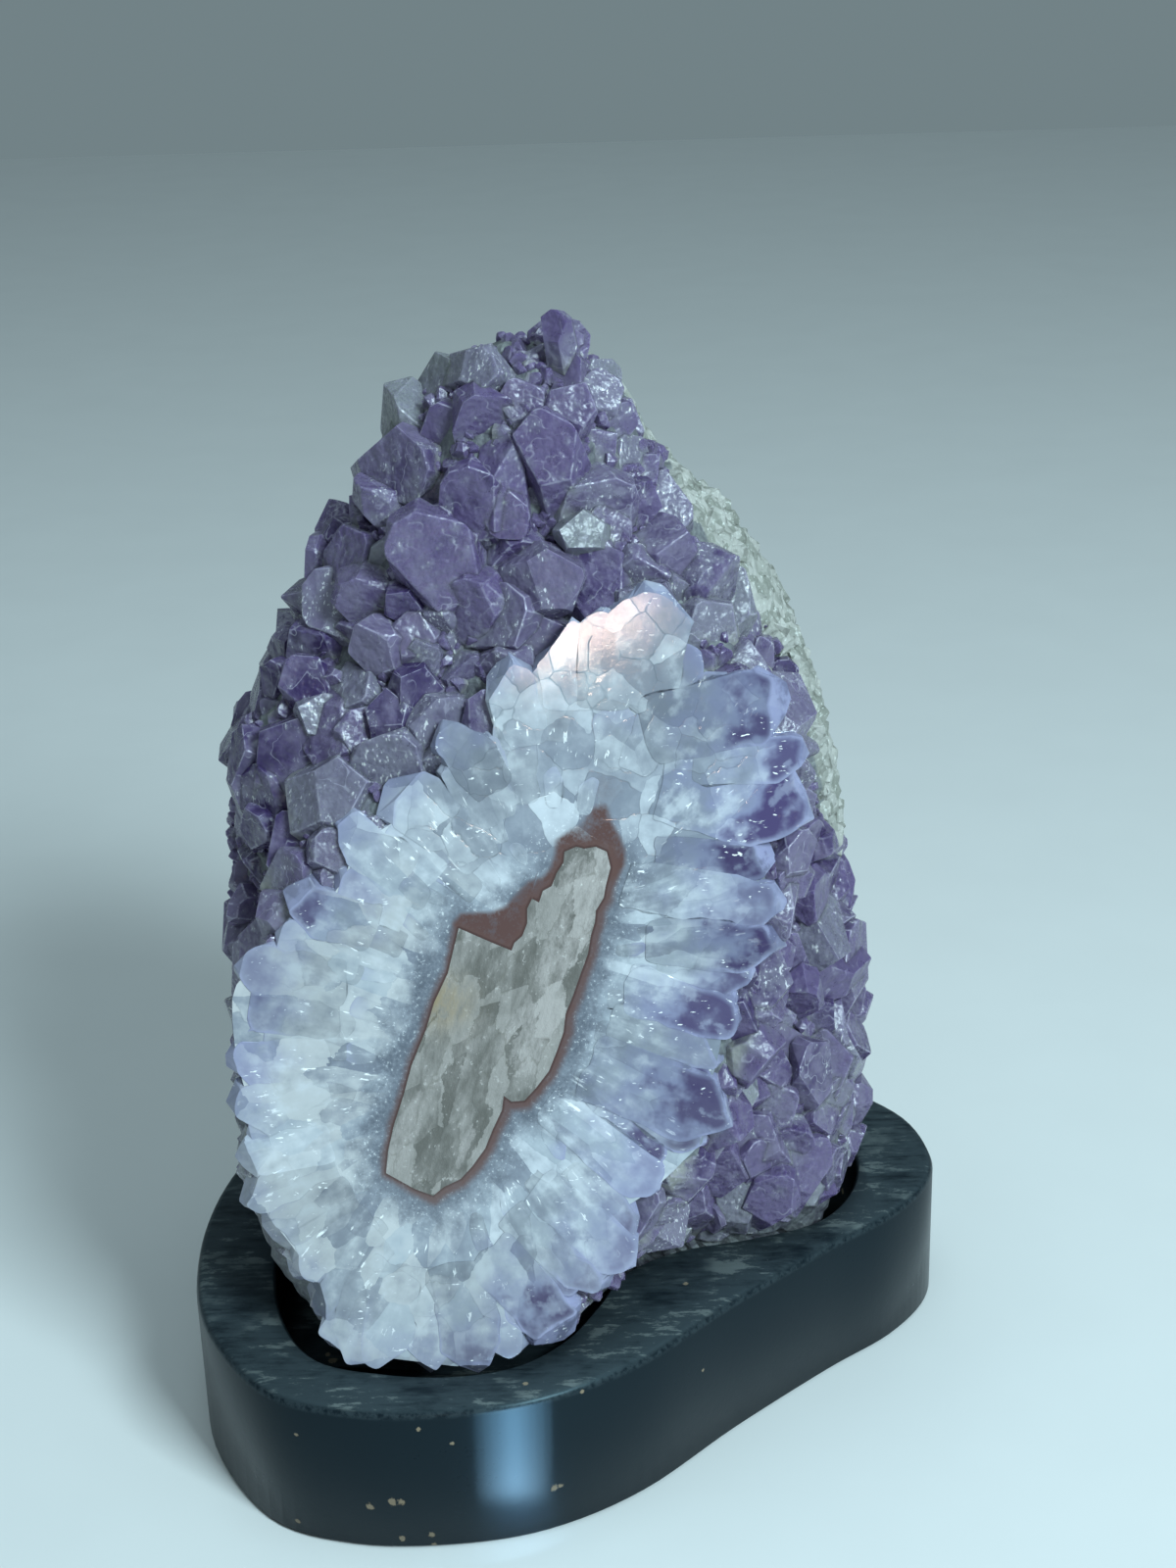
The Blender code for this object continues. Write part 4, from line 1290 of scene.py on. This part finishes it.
# Angle round the core in degrees, 0 to the right and 90 up, with the purple and the frost there
BORDER_LOOKS = [(-180, 0.35, 0.2), (-150, 0.05, 0.45), (-120, 0.1, 0.5), (-95, 0.4, 0.35), (-70, 0.7, 0.05),
                (-30, 0.85, 0.15), (20, 0.85, 0.1), (45, 0.7, 0.1), (65, 0.3, 0.5), (90, 0.1, 0.7),
                (125, 0.25, 0.3), (150, 0.5, 0.3), (180, 0.35, 0.2)]
SLICE_LAYERS = ((0.11, 0.17), (0.06, 0.10), (0.01, 0.05))
MIDDLE_TRIES = 500


def sliced_crystal(heap, tip, root, half_width, look, dice, layer=0):
    """One crystal that lies in the polished plane from its root to its tip, and is cut a hair off it."""
    way = tip - root
    length = np.linalg.norm(way)
    axis = unit(way / length - FACE_OUT * dice.uniform(0.02, 0.1))
    foot = root - FACE_OUT * dice.uniform(0.1, 0.3) * half_width
    narrow = 0.86 if layer == 0 else 0.66
    form = (half_width * narrow, length * 1.05, 0.5, dice.uniform(0.0, 0.26), (narrow - 1) * half_width / length)
    cuts = [face_cut(dice.uniform(*SLICE_LAYERS[layer])), POCKET_CUT]
    heap.add(foot, axis, form, look, dice, cuts, 0.16, rounding=dice.randrange(2, 7))


def look_at(angle, dice):
    degrees = [row[0] for row in BORDER_LOOKS]
    purple = np.interp(math.degrees(angle), degrees, [row[1] for row in BORDER_LOOKS]) + dice.gauss(0, 0.12)
    milk = np.interp(math.degrees(angle), degrees, [row[2] for row in BORDER_LOOKS]) + dice.gauss(0, 0.2)
    return (dice.random(), min(1.0, max(0.0, purple)), min(1.0, max(0.0, milk)))


def sliced_crystals():
    dice = random.Random(SEED + 2)
    heap = CrystalHeap()
    tips = []
    for tip_pixel, root_pixel, half_width, purple, milk in SLICED:
        tip, root = on_face([tip_pixel, root_pixel])
        sliced_crystal(heap, tip, root, half_width, (dice.random(), purple, milk), dice)
        tips.append(to_face(tip)[:2])
    for step in range(0, BORDER_STEPS, 2):
        angle = 2 * math.pi * step / BORDER_STEPS - math.pi
        ray = np.array([math.cos(angle), math.sin(angle)])
        tip = ray * float(border_at(angle, TIP_RADII)) * dice.uniform(0.95, 0.99)
        if min(np.linalg.norm(tip - other) for other in tips) < 4.6:
            continue
        tips.append(tip)
        way = growth_direction(tip)
        root = tip - way * dice.uniform(11, 16)
        half_width = dice.uniform(3.2, 4.8)
        sliced_crystal(heap, from_face(*tip), from_face(*root), half_width, look_at(angle, dice), dice, 1)
    placed = []
    for _ in range(MIDDLE_TRIES):
        angle = dice.uniform(-math.pi, math.pi)
        spot = np.array([math.cos(angle), math.sin(angle)]) * float(border_at(angle, PLATE_RADII)) * dice.uniform(0.2, 0.88)
        from_core = float(distance_to_core(spot[None])[0])
        half_width = min(3.4, 0.9 + 0.13 * from_core) * dice.uniform(0.85, 1.2)
        turn = dice.gauss(0, 0.16)
        way = growth_direction(spot)
        way = np.array([way[0] * math.cos(turn) - way[1] * math.sin(turn), way[0] * math.sin(turn) + way[1] * math.cos(turn)])
        length = half_width * dice.uniform(2.6, 4.2)
        tip = spot + way * length * 0.6
        past = np.linalg.norm(tip) > 0.95 * float(border_at(math.atan2(tip[1], tip[0]), TIP_RADII))
        close = any(np.linalg.norm(spot - other) < 1.15 * (half_width + width) for other, width in placed)
        if from_core < 6.5 or past or close:
            continue
        placed.append((spot, half_width))
        tone, purple, milk = look_at(angle, dice)
        look = (tone, purple * 0.35, min(1.0, milk + 0.15))
        root = spot - way * length * 0.4
        sliced_crystal(heap, from_face(*tip), from_face(*root), half_width, look, dice, 2)
    print(len(tips), "crystals on the border,", len(placed), "between")
    return heap


sliced = sliced_crystals().to_object("sliced_crystals", [CUT_CRYSTAL, CUT_CRYSTAL])

# %% [markdown]
# The face itself is a thin plate behind the sliced crystals. Rings of points run from the core to the
# border, close enough to carry the distance to the core for its brown rim.

# %% Polished face
# Brown smudges beyond the rim: pixel, radius in mm and strength
SMUDGES = [((608, 838), 3.6, 0.55), ((618, 804), 4.8, 0.4)]
SMUDGE_FADE = 1.5
FACE_RINGS = 96
FACE_PLATE = 1.0


def polished_face():
    angles = np.arange(BORDER_STEPS) * 2 * math.pi / BORDER_STEPS - math.pi
    outline = np.stack([np.cos(angles), np.sin(angles)], axis=1) * PLATE_RADII[:, None]
    lowest = (STAND_TOP + GAP - CORE_MIDDLE[2]) / FACE_UP[2]
    outline[:, 1] = np.maximum(outline[:, 1], lowest)
    rings = [outline * (k / FACE_RINGS) for k in range(1, FACE_RINGS + 1)]
    flat = np.concatenate([np.zeros((1, 2))] + rings)
    count = len(flat)
    front = from_face(flat[:, 0], flat[:, 1])
    back = from_face(outline[:, 0], outline[:, 1], -FACE_PLATE)
    hub = from_face(0.0, 0.0, -FACE_PLATE)[None]
    faces = []
    last = 1 + (FACE_RINGS - 1) * BORDER_STEPS
    for s in range(BORDER_STEPS):
        t = (s + 1) % BORDER_STEPS
        faces.append((0, 1 + s, 1 + t))
        for k in range(FACE_RINGS - 1):
            a = 1 + k * BORDER_STEPS
            b = a + BORDER_STEPS
            faces.append((a + s, b + s, b + t, a + t))
        faces.append((last + s, count + s, count + t, last + t))
        faces.append((count + s, count + BORDER_STEPS, count + t))
    mesh = bpy.data.meshes.new("polished_face")
    mesh.from_pydata((np.concatenate([front, back, hub]) * MM).tolist(), [], faces)
    distance = np.full(len(mesh.vertices), 50.0)
    distance[:count] = distance_to_core(flat)
    mesh.attributes.new("core_distance", "FLOAT", "POINT").data.foreach_set("value", distance)
    smudge = np.zeros(len(mesh.vertices))
    smudge[:count] = ease(distance_to_core(flat, BROWN_FLAT), SMUDGE_FADE, 0.0)
    for pixel, radius, strength in SMUDGES:
        reach = np.linalg.norm(flat - to_face(on_face([pixel]))[0, :2], axis=1) / radius
        smudge[:count] = np.maximum(smudge[:count], strength * np.exp(-(reach ** 2) * 1.6))
    mesh.attributes.new("smudge", "FLOAT", "POINT").data.foreach_set("value", smudge)
    mesh.materials.append(POLISHED)
    obj = bpy.data.objects.new("polished_face", mesh)
    bpy.context.scene.collection.objects.link(obj)
    print("polished face:", len(mesh.polygons), "faces,", (outline.max(0) - outline.min(0)).round(1), "mm")
    return obj


face = polished_face()

# %% [markdown]
# The calcite core is its own plate, set a hair proud of the quartz so that its outline is crisp.

# %% Calcite core
CORE_PROUD = 0.06
CORE_SINK = 1.0
STAIN = ((450, 1022), 5.0)


def calcite_core():
    bm = bmesh.new()
    centre = CORE_FLAT.mean(axis=0)
    top = [bm.verts.new(p * MM) for p in from_face(CORE_FLAT[:, 0], CORE_FLAT[:, 1], CORE_PROUD)]
    sunk = centre + (CORE_FLAT - centre) * 0.97
    bottom = [bm.verts.new(p * MM) for p in from_face(sunk[:, 0], sunk[:, 1], -CORE_SINK)]
    for i in range(len(top)):
        j = (i + 1) % len(top)
        bm.faces.new((top[i], top[j], bottom[j], bottom[i]))
    cap = bm.faces.new(top)
    bm.faces.new(bottom[::-1])
    bmesh.ops.recalc_face_normals(bm, faces=bm.faces)
    bmesh.ops.triangulate(bm, faces=[cap])
    bmesh.ops.subdivide_edges(bm, edges=bm.edges, cuts=5, use_grid_fill=True)
    mesh = bpy.data.meshes.new("calcite_core")
    bm.to_mesh(mesh)
    bm.free()
    points = np.array([vert.co for vert in mesh.vertices]) / MM
    spot = on_face([STAIN[0]])[0]
    stain = np.exp(-((np.linalg.norm(points - spot, axis=1) / STAIN[1]) ** 2) * 1.5)
    mesh.attributes.new("stain", "FLOAT", "POINT").data.foreach_set("value", stain)
    mesh.materials.append(CALCITE)
    obj = bpy.data.objects.new("calcite_core", mesh)
    bpy.context.scene.collection.objects.link(obj)
    return obj


core = calcite_core()

# %% [markdown]
# The mass is a ball of points pushed out to the surface. The druse's floor is pitted, and the matrix is
# broken into grains by a cell pattern, both moved along the normal, so that they show in the mesh and not
# only in a bump. All of it in front of the polished plane is cut off just behind the plate.

# %% The mass: druse floor, matrix and skin
MASS_SUBDIVISIONS = 7
GRAIN_SIZE = 3.4
BAND_SWELL = 1.2
BLOCK_TRIES = 9000


def rough_height(point, granular, skin):
    """How far the surface stands out at a point, in millimetres."""
    spot = Vector(point) / GRAIN_SIZE
    cell = noise.voronoi(spot)[0][0]
    broad = noise.fractal(Vector(point) / 14.0, 0.9, 2.0, 4)
    pits = noise.fractal(Vector(point) / 4.0, 0.8, 2.0, 3)
    loose = (0.9 + 1.3 * skin) * broad + granular * (1.1 - 1.8 * cell) + (1 - granular) * 0.9 * pits
    return loose + skin * (0.5 * pits - 0.2)


def stone_mass():
    bm = bmesh.new()
    bmesh.ops.create_icosphere(bm, subdivisions=MASS_SUBDIVISIONS, radius=1)
    directions = np.array([vert.co.normalized() for vert in bm.verts])
    points = leave_mass(STONE_HEART, directions)
    normals = surface_normals(points)
    band = band_share(points, normals)
    granular = np.maximum(band, ease(normals[:, 1], 0.3, 0.5)) * ease(points[:, 2], 26, 34)
    skin = ease(normals[:, 1] + 0.35 * band, 0.5, 0.9)
    heights = np.array([rough_height(p, g, s) for p, g, s in zip(points, granular, skin)])
    heights += BAND_SWELL * band * ease(normals[:, 1], 0.8, 0.2)
    over = (points - FACE_POINT) @ FACE_OUT
    heights *= ease(-over, -1.0, 6.0)
    points = points + normals * heights[:, None]
    for vert, point in zip(bm.verts, points):
        vert.co = Vector(point) * MM
    matrix_layer = bm.verts.layers.float.new("matrix")
    skin_layer = bm.verts.layers.float.new("skin")
    floor_layer = bm.verts.layers.float.new("floor")
    beyond, angles = beyond_border(points)
    by_pocket = (beyond < 24) & (np.degrees(angles) < -95)
    bears = bears_crystals(points, normals, 4.0) & (over < -3.0) & ~by_pocket
    placed = np.array(PLACED)
    for i in np.flatnonzero(bears):
        away = points[i] - placed[:, :3]
        bears[i] = (np.einsum("ij,ij->i", away, away) > (0.72 * placed[:, 3]) ** 2).all()
    for i, vert in enumerate(bm.verts):
        vert[matrix_layer] = float(granular[i])
        vert[skin_layer] = float(skin[i])
        vert[floor_layer] = float(bears[i])
    behind = FACE_POINT - FACE_OUT * 0.8
    for point, normal in ((behind, FACE_OUT), (np.array([0, 0, 14.3]), np.array([0, 0, -1.0]))):
        everything = list(bm.verts) + list(bm.edges) + list(bm.faces)
        cut = bmesh.ops.bisect_plane(bm, geom=everything, plane_co=point * MM, plane_no=normal, clear_outer=True)
        rim = [item for item in cut["geom_cut"] if isinstance(item, bmesh.types.BMEdge)]
        bmesh.ops.holes_fill(bm, edges=rim)
    bmesh.ops.triangulate(bm, faces=[f for f in bm.faces if len(f.verts) > 4])
    mesh = bpy.data.meshes.new("stone_mass")
    bm.to_mesh(mesh)
    bm.free()
    mesh.materials.append(MATRIX)
    obj = bpy.data.objects.new("stone_mass", mesh)
    bpy.context.scene.collection.objects.link(obj)
    print("stone mass:", len(mesh.polygons), "faces")
    return obj


mass = stone_mass()


def broken_edge():
    """Pale blocks that stand on the band every which way, as broken quartz does."""
    dice = random.Random(SEED + 3)
    heap = CrystalHeap()
    share = band_share(SITES, SITE_NORMALS) * (SITE_NORMALS[:, 1] < 0.4)
    sites = list(np.flatnonzero(share > 0.5))
    placed = []
    for site in dice.choices(sites, k=BLOCK_TRIES):
        half_width = dice.uniform(0.8, 3.6)
        foot = SITES[site] + SITE_NORMALS[site] * (dice.uniform(-0.3, 1.2) - half_width * 0.6)
        if any(np.linalg.norm(foot - other) < 0.5 * (half_width + width) for other, width in placed):
            continue
        placed.append((foot, half_width))
        axis = unit(SITE_NORMALS[site] * 0.7 + np.array([dice.gauss(0, 0.6) for _ in range(3)]))
        form = (half_width, half_width * dice.uniform(0.6, 1.4), half_width, dice.uniform(0.0, 0.5), 0.0)
        heap.add(foot, axis, form, (dice.random(), 0.0, 0.0), dice, [face_cut(-0.3), STAND_CUT], 0.12)
    heap.values["matrix"] = [1.0] * len(heap.points)
    print(len(placed), "blocks on the broken edge")
    return heap.to_object("broken_edge", [MATRIX])


edge = broken_edge()

# %% [markdown]
# The crevices are full of crystals too small to place one by one. Geometry Nodes scatters one small crystal
# over the druse's floor, with a random size, turn and tone, and keeps a least distance between them. The
# seed is fixed, so that the stone is the same each time.

# %% Small crystals in the crevices
SMALL_SPACING = 1.5
SMALL_SIZES = (0.6, 1.7)


def small_crystal():
    """One crystal with a half width of 1 mm, and few faces because it repeats thousands of times."""
    heap = CrystalHeap()
    dice = random.Random(SEED + 4)
    heap.add(np.zeros(3), np.array([0.0, 0.0, 1.0]), (1.0, 1.3, 0.8, 0.05, 0.05), (0.5, 0.5, 0.0), dice, (), 0.0)
    return heap.to_object("small_crystal", [AMETHYST])


class Tree:
    """A Geometry Nodes tree that is built by name."""

    def __init__(self, name):
        self.tree = bpy.data.node_groups.new(name, "GeometryNodeTree")
        self.tree.interface.new_socket("Geometry", in_out="INPUT", socket_type="NodeSocketGeometry")
        self.tree.interface.new_socket("Geometry", in_out="OUTPUT", socket_type="NodeSocketGeometry")

    def socket(self, name, kind, value=None):
        made = self.tree.interface.new_socket(name, in_out="INPUT", socket_type=kind)
        if value is not None:
            made.default_value = value
        return made.identifier

    def node(self, kind, settings, inputs):
        made = self.tree.nodes.new(kind)
        for name, setting in settings.items():
            setattr(made, name, setting)
        for name, value in inputs.items():
            if isinstance(value, bpy.types.NodeSocket):
                self.tree.links.new(value, made.inputs[name])
            else:
                made.inputs[name].default_value = value
        return made


def scatter_tree():
    tree = Tree("scatter_small_crystals")
    identifiers = {
        "Crystal": tree.socket("Crystal", "NodeSocketObject"),
        "Spacing": tree.socket("Spacing", "NodeSocketFloat", SMALL_SPACING * MM),
        "Smallest": tree.socket("Smallest", "NodeSocketFloat", SMALL_SIZES[0]),
        "Largest": tree.socket("Largest", "NodeSocketFloat", SMALL_SIZES[1]),
        "Seed": tree.socket("Seed", "NodeSocketInt", SEED),
    }
    given = tree.node("NodeGroupInput", {}, {}).outputs
    floor = tree.node("GeometryNodeInputNamedAttribute", {"data_type": "FLOAT"}, {"Name": "floor"})
    on_floor = tree.node("FunctionNodeCompare", {"operation": "GREATER_THAN"}, {"A": floor.outputs[0], "B": 0.5})
    points = tree.node("GeometryNodeDistributePointsOnFaces", {"distribute_method": "POISSON"}, {
        "Mesh": given["Geometry"], "Selection": on_floor.outputs[0], "Distance Min": given["Spacing"],
        "Density Max": 2e6, "Seed": given["Seed"]})
    lean = tree.node("FunctionNodeRandomValue", {"data_type": "FLOAT_VECTOR"}, {
        "Min": (-0.5, -0.5, 0.0), "Max": (0.5, 0.5, 6.28), "Seed": given["Seed"]})
    turned = tree.node("FunctionNodeRotateRotation", {"rotation_space": "LOCAL"}, {
        "Rotation": points.outputs["Rotation"], "Rotate By": lean.outputs[0]})
    size = tree.node("FunctionNodeRandomValue", {"data_type": "FLOAT"}, {})
    tree.tree.links.new(given["Smallest"], size.inputs[2])
    tree.tree.links.new(given["Largest"], size.inputs[3])
    crystal = tree.node("GeometryNodeObjectInfo", {}, {"Object": given["Crystal"]})
    placed = tree.node("GeometryNodeInstanceOnPoints", {}, {
        "Points": points.outputs["Points"], "Instance": crystal.outputs["Geometry"],
        "Rotation": turned.outputs[0], "Scale": size.outputs[1]})
    last = placed.outputs[0]
    for name, low, high in (("tone", 0.0, 1.0), ("purple", 0.0, 0.5), ("milk", 0.0, 0.6)):
        value = tree.node("FunctionNodeRandomValue", {"data_type": "FLOAT"}, {})
        value.inputs[2].default_value, value.inputs[3].default_value = low, high
        value.inputs["Seed"].default_value = SEED + len(name)
        kept = tree.node("GeometryNodeStoreNamedAttribute", {"data_type": "FLOAT", "domain": "INSTANCE"},
                         {"Geometry": last, "Name": name, "Value": value.outputs[1]})
        last = kept.outputs[0]
    real = tree.node("GeometryNodeRealizeInstances", {}, {"Geometry": last})
    dressed = tree.node("GeometryNodeSetMaterial", {}, {"Geometry": real.outputs[0], "Material": AMETHYST})
    tree.node("NodeGroupOutput", {}, {"Geometry": dressed.outputs[0]})
    return tree.tree, identifiers


def small_crystals():
    tree, identifiers = scatter_tree()
    source = small_crystal()
    ground = bpy.data.objects.new("small_crystals_ground", mass.data)
    bpy.context.scene.collection.objects.link(ground)
    scatter = ground.modifiers.new("scatter", "NODES")
    scatter.node_group = tree
    scatter[identifiers["Crystal"]] = source
    scatter[identifiers["Spacing"]] = SMALL_SPACING * MM
    scatter[identifiers["Smallest"]] = SMALL_SIZES[0]
    scatter[identifiers["Largest"]] = SMALL_SIZES[1]
    scatter[identifiers["Seed"]] = SEED
    shown = ground.evaluated_get(bpy.context.evaluated_depsgraph_get())
    mesh = bpy.data.meshes.new_from_object(shown)
    bpy.data.objects.remove(ground)
    bpy.data.objects.remove(source)
    obj = bpy.data.objects.new("small_crystals", mesh)
    bpy.context.scene.collection.objects.link(obj)
    print("small crystals:", len(mesh.polygons), "faces")
    return obj


small = small_crystals()

# %% [markdown]
# The stand keeps its solid from the frame, and gets its paint. Its own mesh may not change, so a welded
# copy stands for it, with smooth walls and an attribute that marks the pocket's knocked edge.

# %% Stand


def painted_stand():
    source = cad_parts["wood_stand"]
    bm = bmesh.new()
    bm.from_mesh(source.data)
    bmesh.ops.remove_doubles(bm, verts=bm.verts, dist=0.01 * MM)
    marks = [float(vert.co.z > (STAND_TOP - 0.1) * MM and
                   any(len(edge.link_faces) == 2 and edge.calc_face_angle() > math.radians(70) for edge in vert.link_edges))
             for vert in bm.verts]
    mesh = bpy.data.meshes.new("painted_stand")
    bm.to_mesh(mesh)
    bm.free()
    mesh.shade_smooth()
    mesh.set_sharp_from_angle(angle=math.radians(28))
    mesh.attributes.new("pocket_edge", "FLOAT", "POINT").data.foreach_set("value", marks)
    mesh.materials.clear()
    mesh.materials.append(BLACK_WOOD)
    obj = bpy.data.objects.new("painted_stand", mesh)
    bpy.context.scene.collection.objects.link(obj)
    return obj


stand = painted_stand()

# %% [markdown]
# Studio: a plain pale floor, a large cool key light from the right as in the photograph, a soft top light,
# and a small warm lamp whose mirror image lies on the top of the polished face. Small bluish cards stand
# close to the stand's side and are only seen as the upright highlight on its paint.

# %% Floor and lights
FLOOR_SIZE = 3.0
COOL = (0.70, 0.93, 1.0)


def area_light(name, place, aim, size, power, colour, long_side=None):
    data = bpy.data.lights.new(name, "AREA")
    data.energy = power
    data.color = colour
    data.size = size
    if long_side:
        data.shape = "RECTANGLE"
        data.size_y = long_side
    obj = bpy.data.objects.new(name, data)
    bpy.context.scene.collection.objects.link(obj)
    obj.location = place
    obj.rotation_euler = (Vector(aim) - Vector(place)).to_track_quat("-Z", "Y").to_euler()
    return obj


def studio():
    paint = Paint("pale_floor")
    fine = paint.noise(paint.place(), 30.0, 3)
    floor_paint = paint.finish(paint.mix((0.70, 0.70, 0.70), (0.74, 0.74, 0.74), fine), 0.6)
    mesh = bpy.data.meshes.new("floor")
    half = FLOOR_SIZE / 2
    mesh.from_pydata([(-half, -half, 0), (half, -half, 0), (half, half, 0), (-half, half, 0)], [], [(0, 1, 2, 3)])
    mesh.materials.append(floor_paint)
    floor = bpy.data.objects.new("floor", mesh)
    bpy.context.scene.collection.objects.link(floor)
    world = bpy.data.worlds.new("studio")
    world.use_nodes = True
    world.node_tree.nodes["Background"].inputs["Color"].default_value = (*COOL, 1)
    world.node_tree.nodes["Background"].inputs["Strength"].default_value = 0.24
    bpy.context.scene.world = world
    bpy.context.scene.view_settings.view_transform = "Standard"
    aim = (0, 0, 0.09)
    area_light("key", (0.55, -0.75, 0.8), aim, 0.35, 17, COOL)
    area_light("top", (-0.1, -0.1, 1.1), aim, 0.8, 3, COOL)
    return floor


floor = studio()


WARM_PIXEL = (598, 640)
WARM_TURN = 25.0
SIDE_WIDTHS = (0.015, 0.012, 0.009, 0.006, 0.003)
SIDE_GAP = 0.0038
SIDE_GLOW = 0.4
SIDE_BLUE = (0.46, 0.74, 1.0)


def warm_lamp():
    """A lamp that is only seen mirrored: the polished plane shows it to the camera at the pale top crystals."""
    spot = on_face([WARM_PIXEL])[0]
    ray = sight([WARM_PIXEL])[0]
    mirrored = ray - 2 * (ray @ FACE_OUT) * FACE_OUT
    place = (spot + mirrored * 700) * MM
    lamp = area_light("warm_lamp", tuple(place), tuple(spot * MM), 0.058, 0.1, (1.0, 0.68, 0.52), 0.009)
    lamp.rotation_euler.rotate_axis("Z", math.radians(WARM_TURN))
    lamp.visible_diffuse = False
    lamp.visible_transmission = False


def side_highlight():
    """Bluish cards close to the stand, only seen as the upright highlight on its side. Nested, they let it fade."""
    ray = Vector(sight([(527, 1500)])[0])
    _, place, normal, _ = stand.ray_cast(Vector(CAMERA_PLACE) * MM, ray)
    across = Vector((normal.x, normal.y, 0)).normalized()
    mirrored = ray - 2 * ray.dot(across) * across
    away = Vector((mirrored.x, mirrored.y, 0)).normalized()
    for k, width in enumerate(SIDE_WIDTHS):
        middle = Vector((place.x, place.y, STAND_TOP * MM / 2)) + away * (SIDE_GAP + k * 0.0003)
        card = area_light("side_card", middle, middle - away, width, SIDE_GLOW * width, SIDE_BLUE, 0.027)
        card.visible_camera = card.visible_diffuse = card.visible_transmission = False


warm_lamp()
side_highlight()

# %% [markdown]
# Every piece rides on the one body, and the frame's solids that they stand for are hidden.

# %% Tie the pieces to the frame
for piece in (druse, small, sliced, face, core, mass, edge):
    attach(piece, "root")
    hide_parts("amethyst_cluster")
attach(stand, "root")
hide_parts("wood_stand")
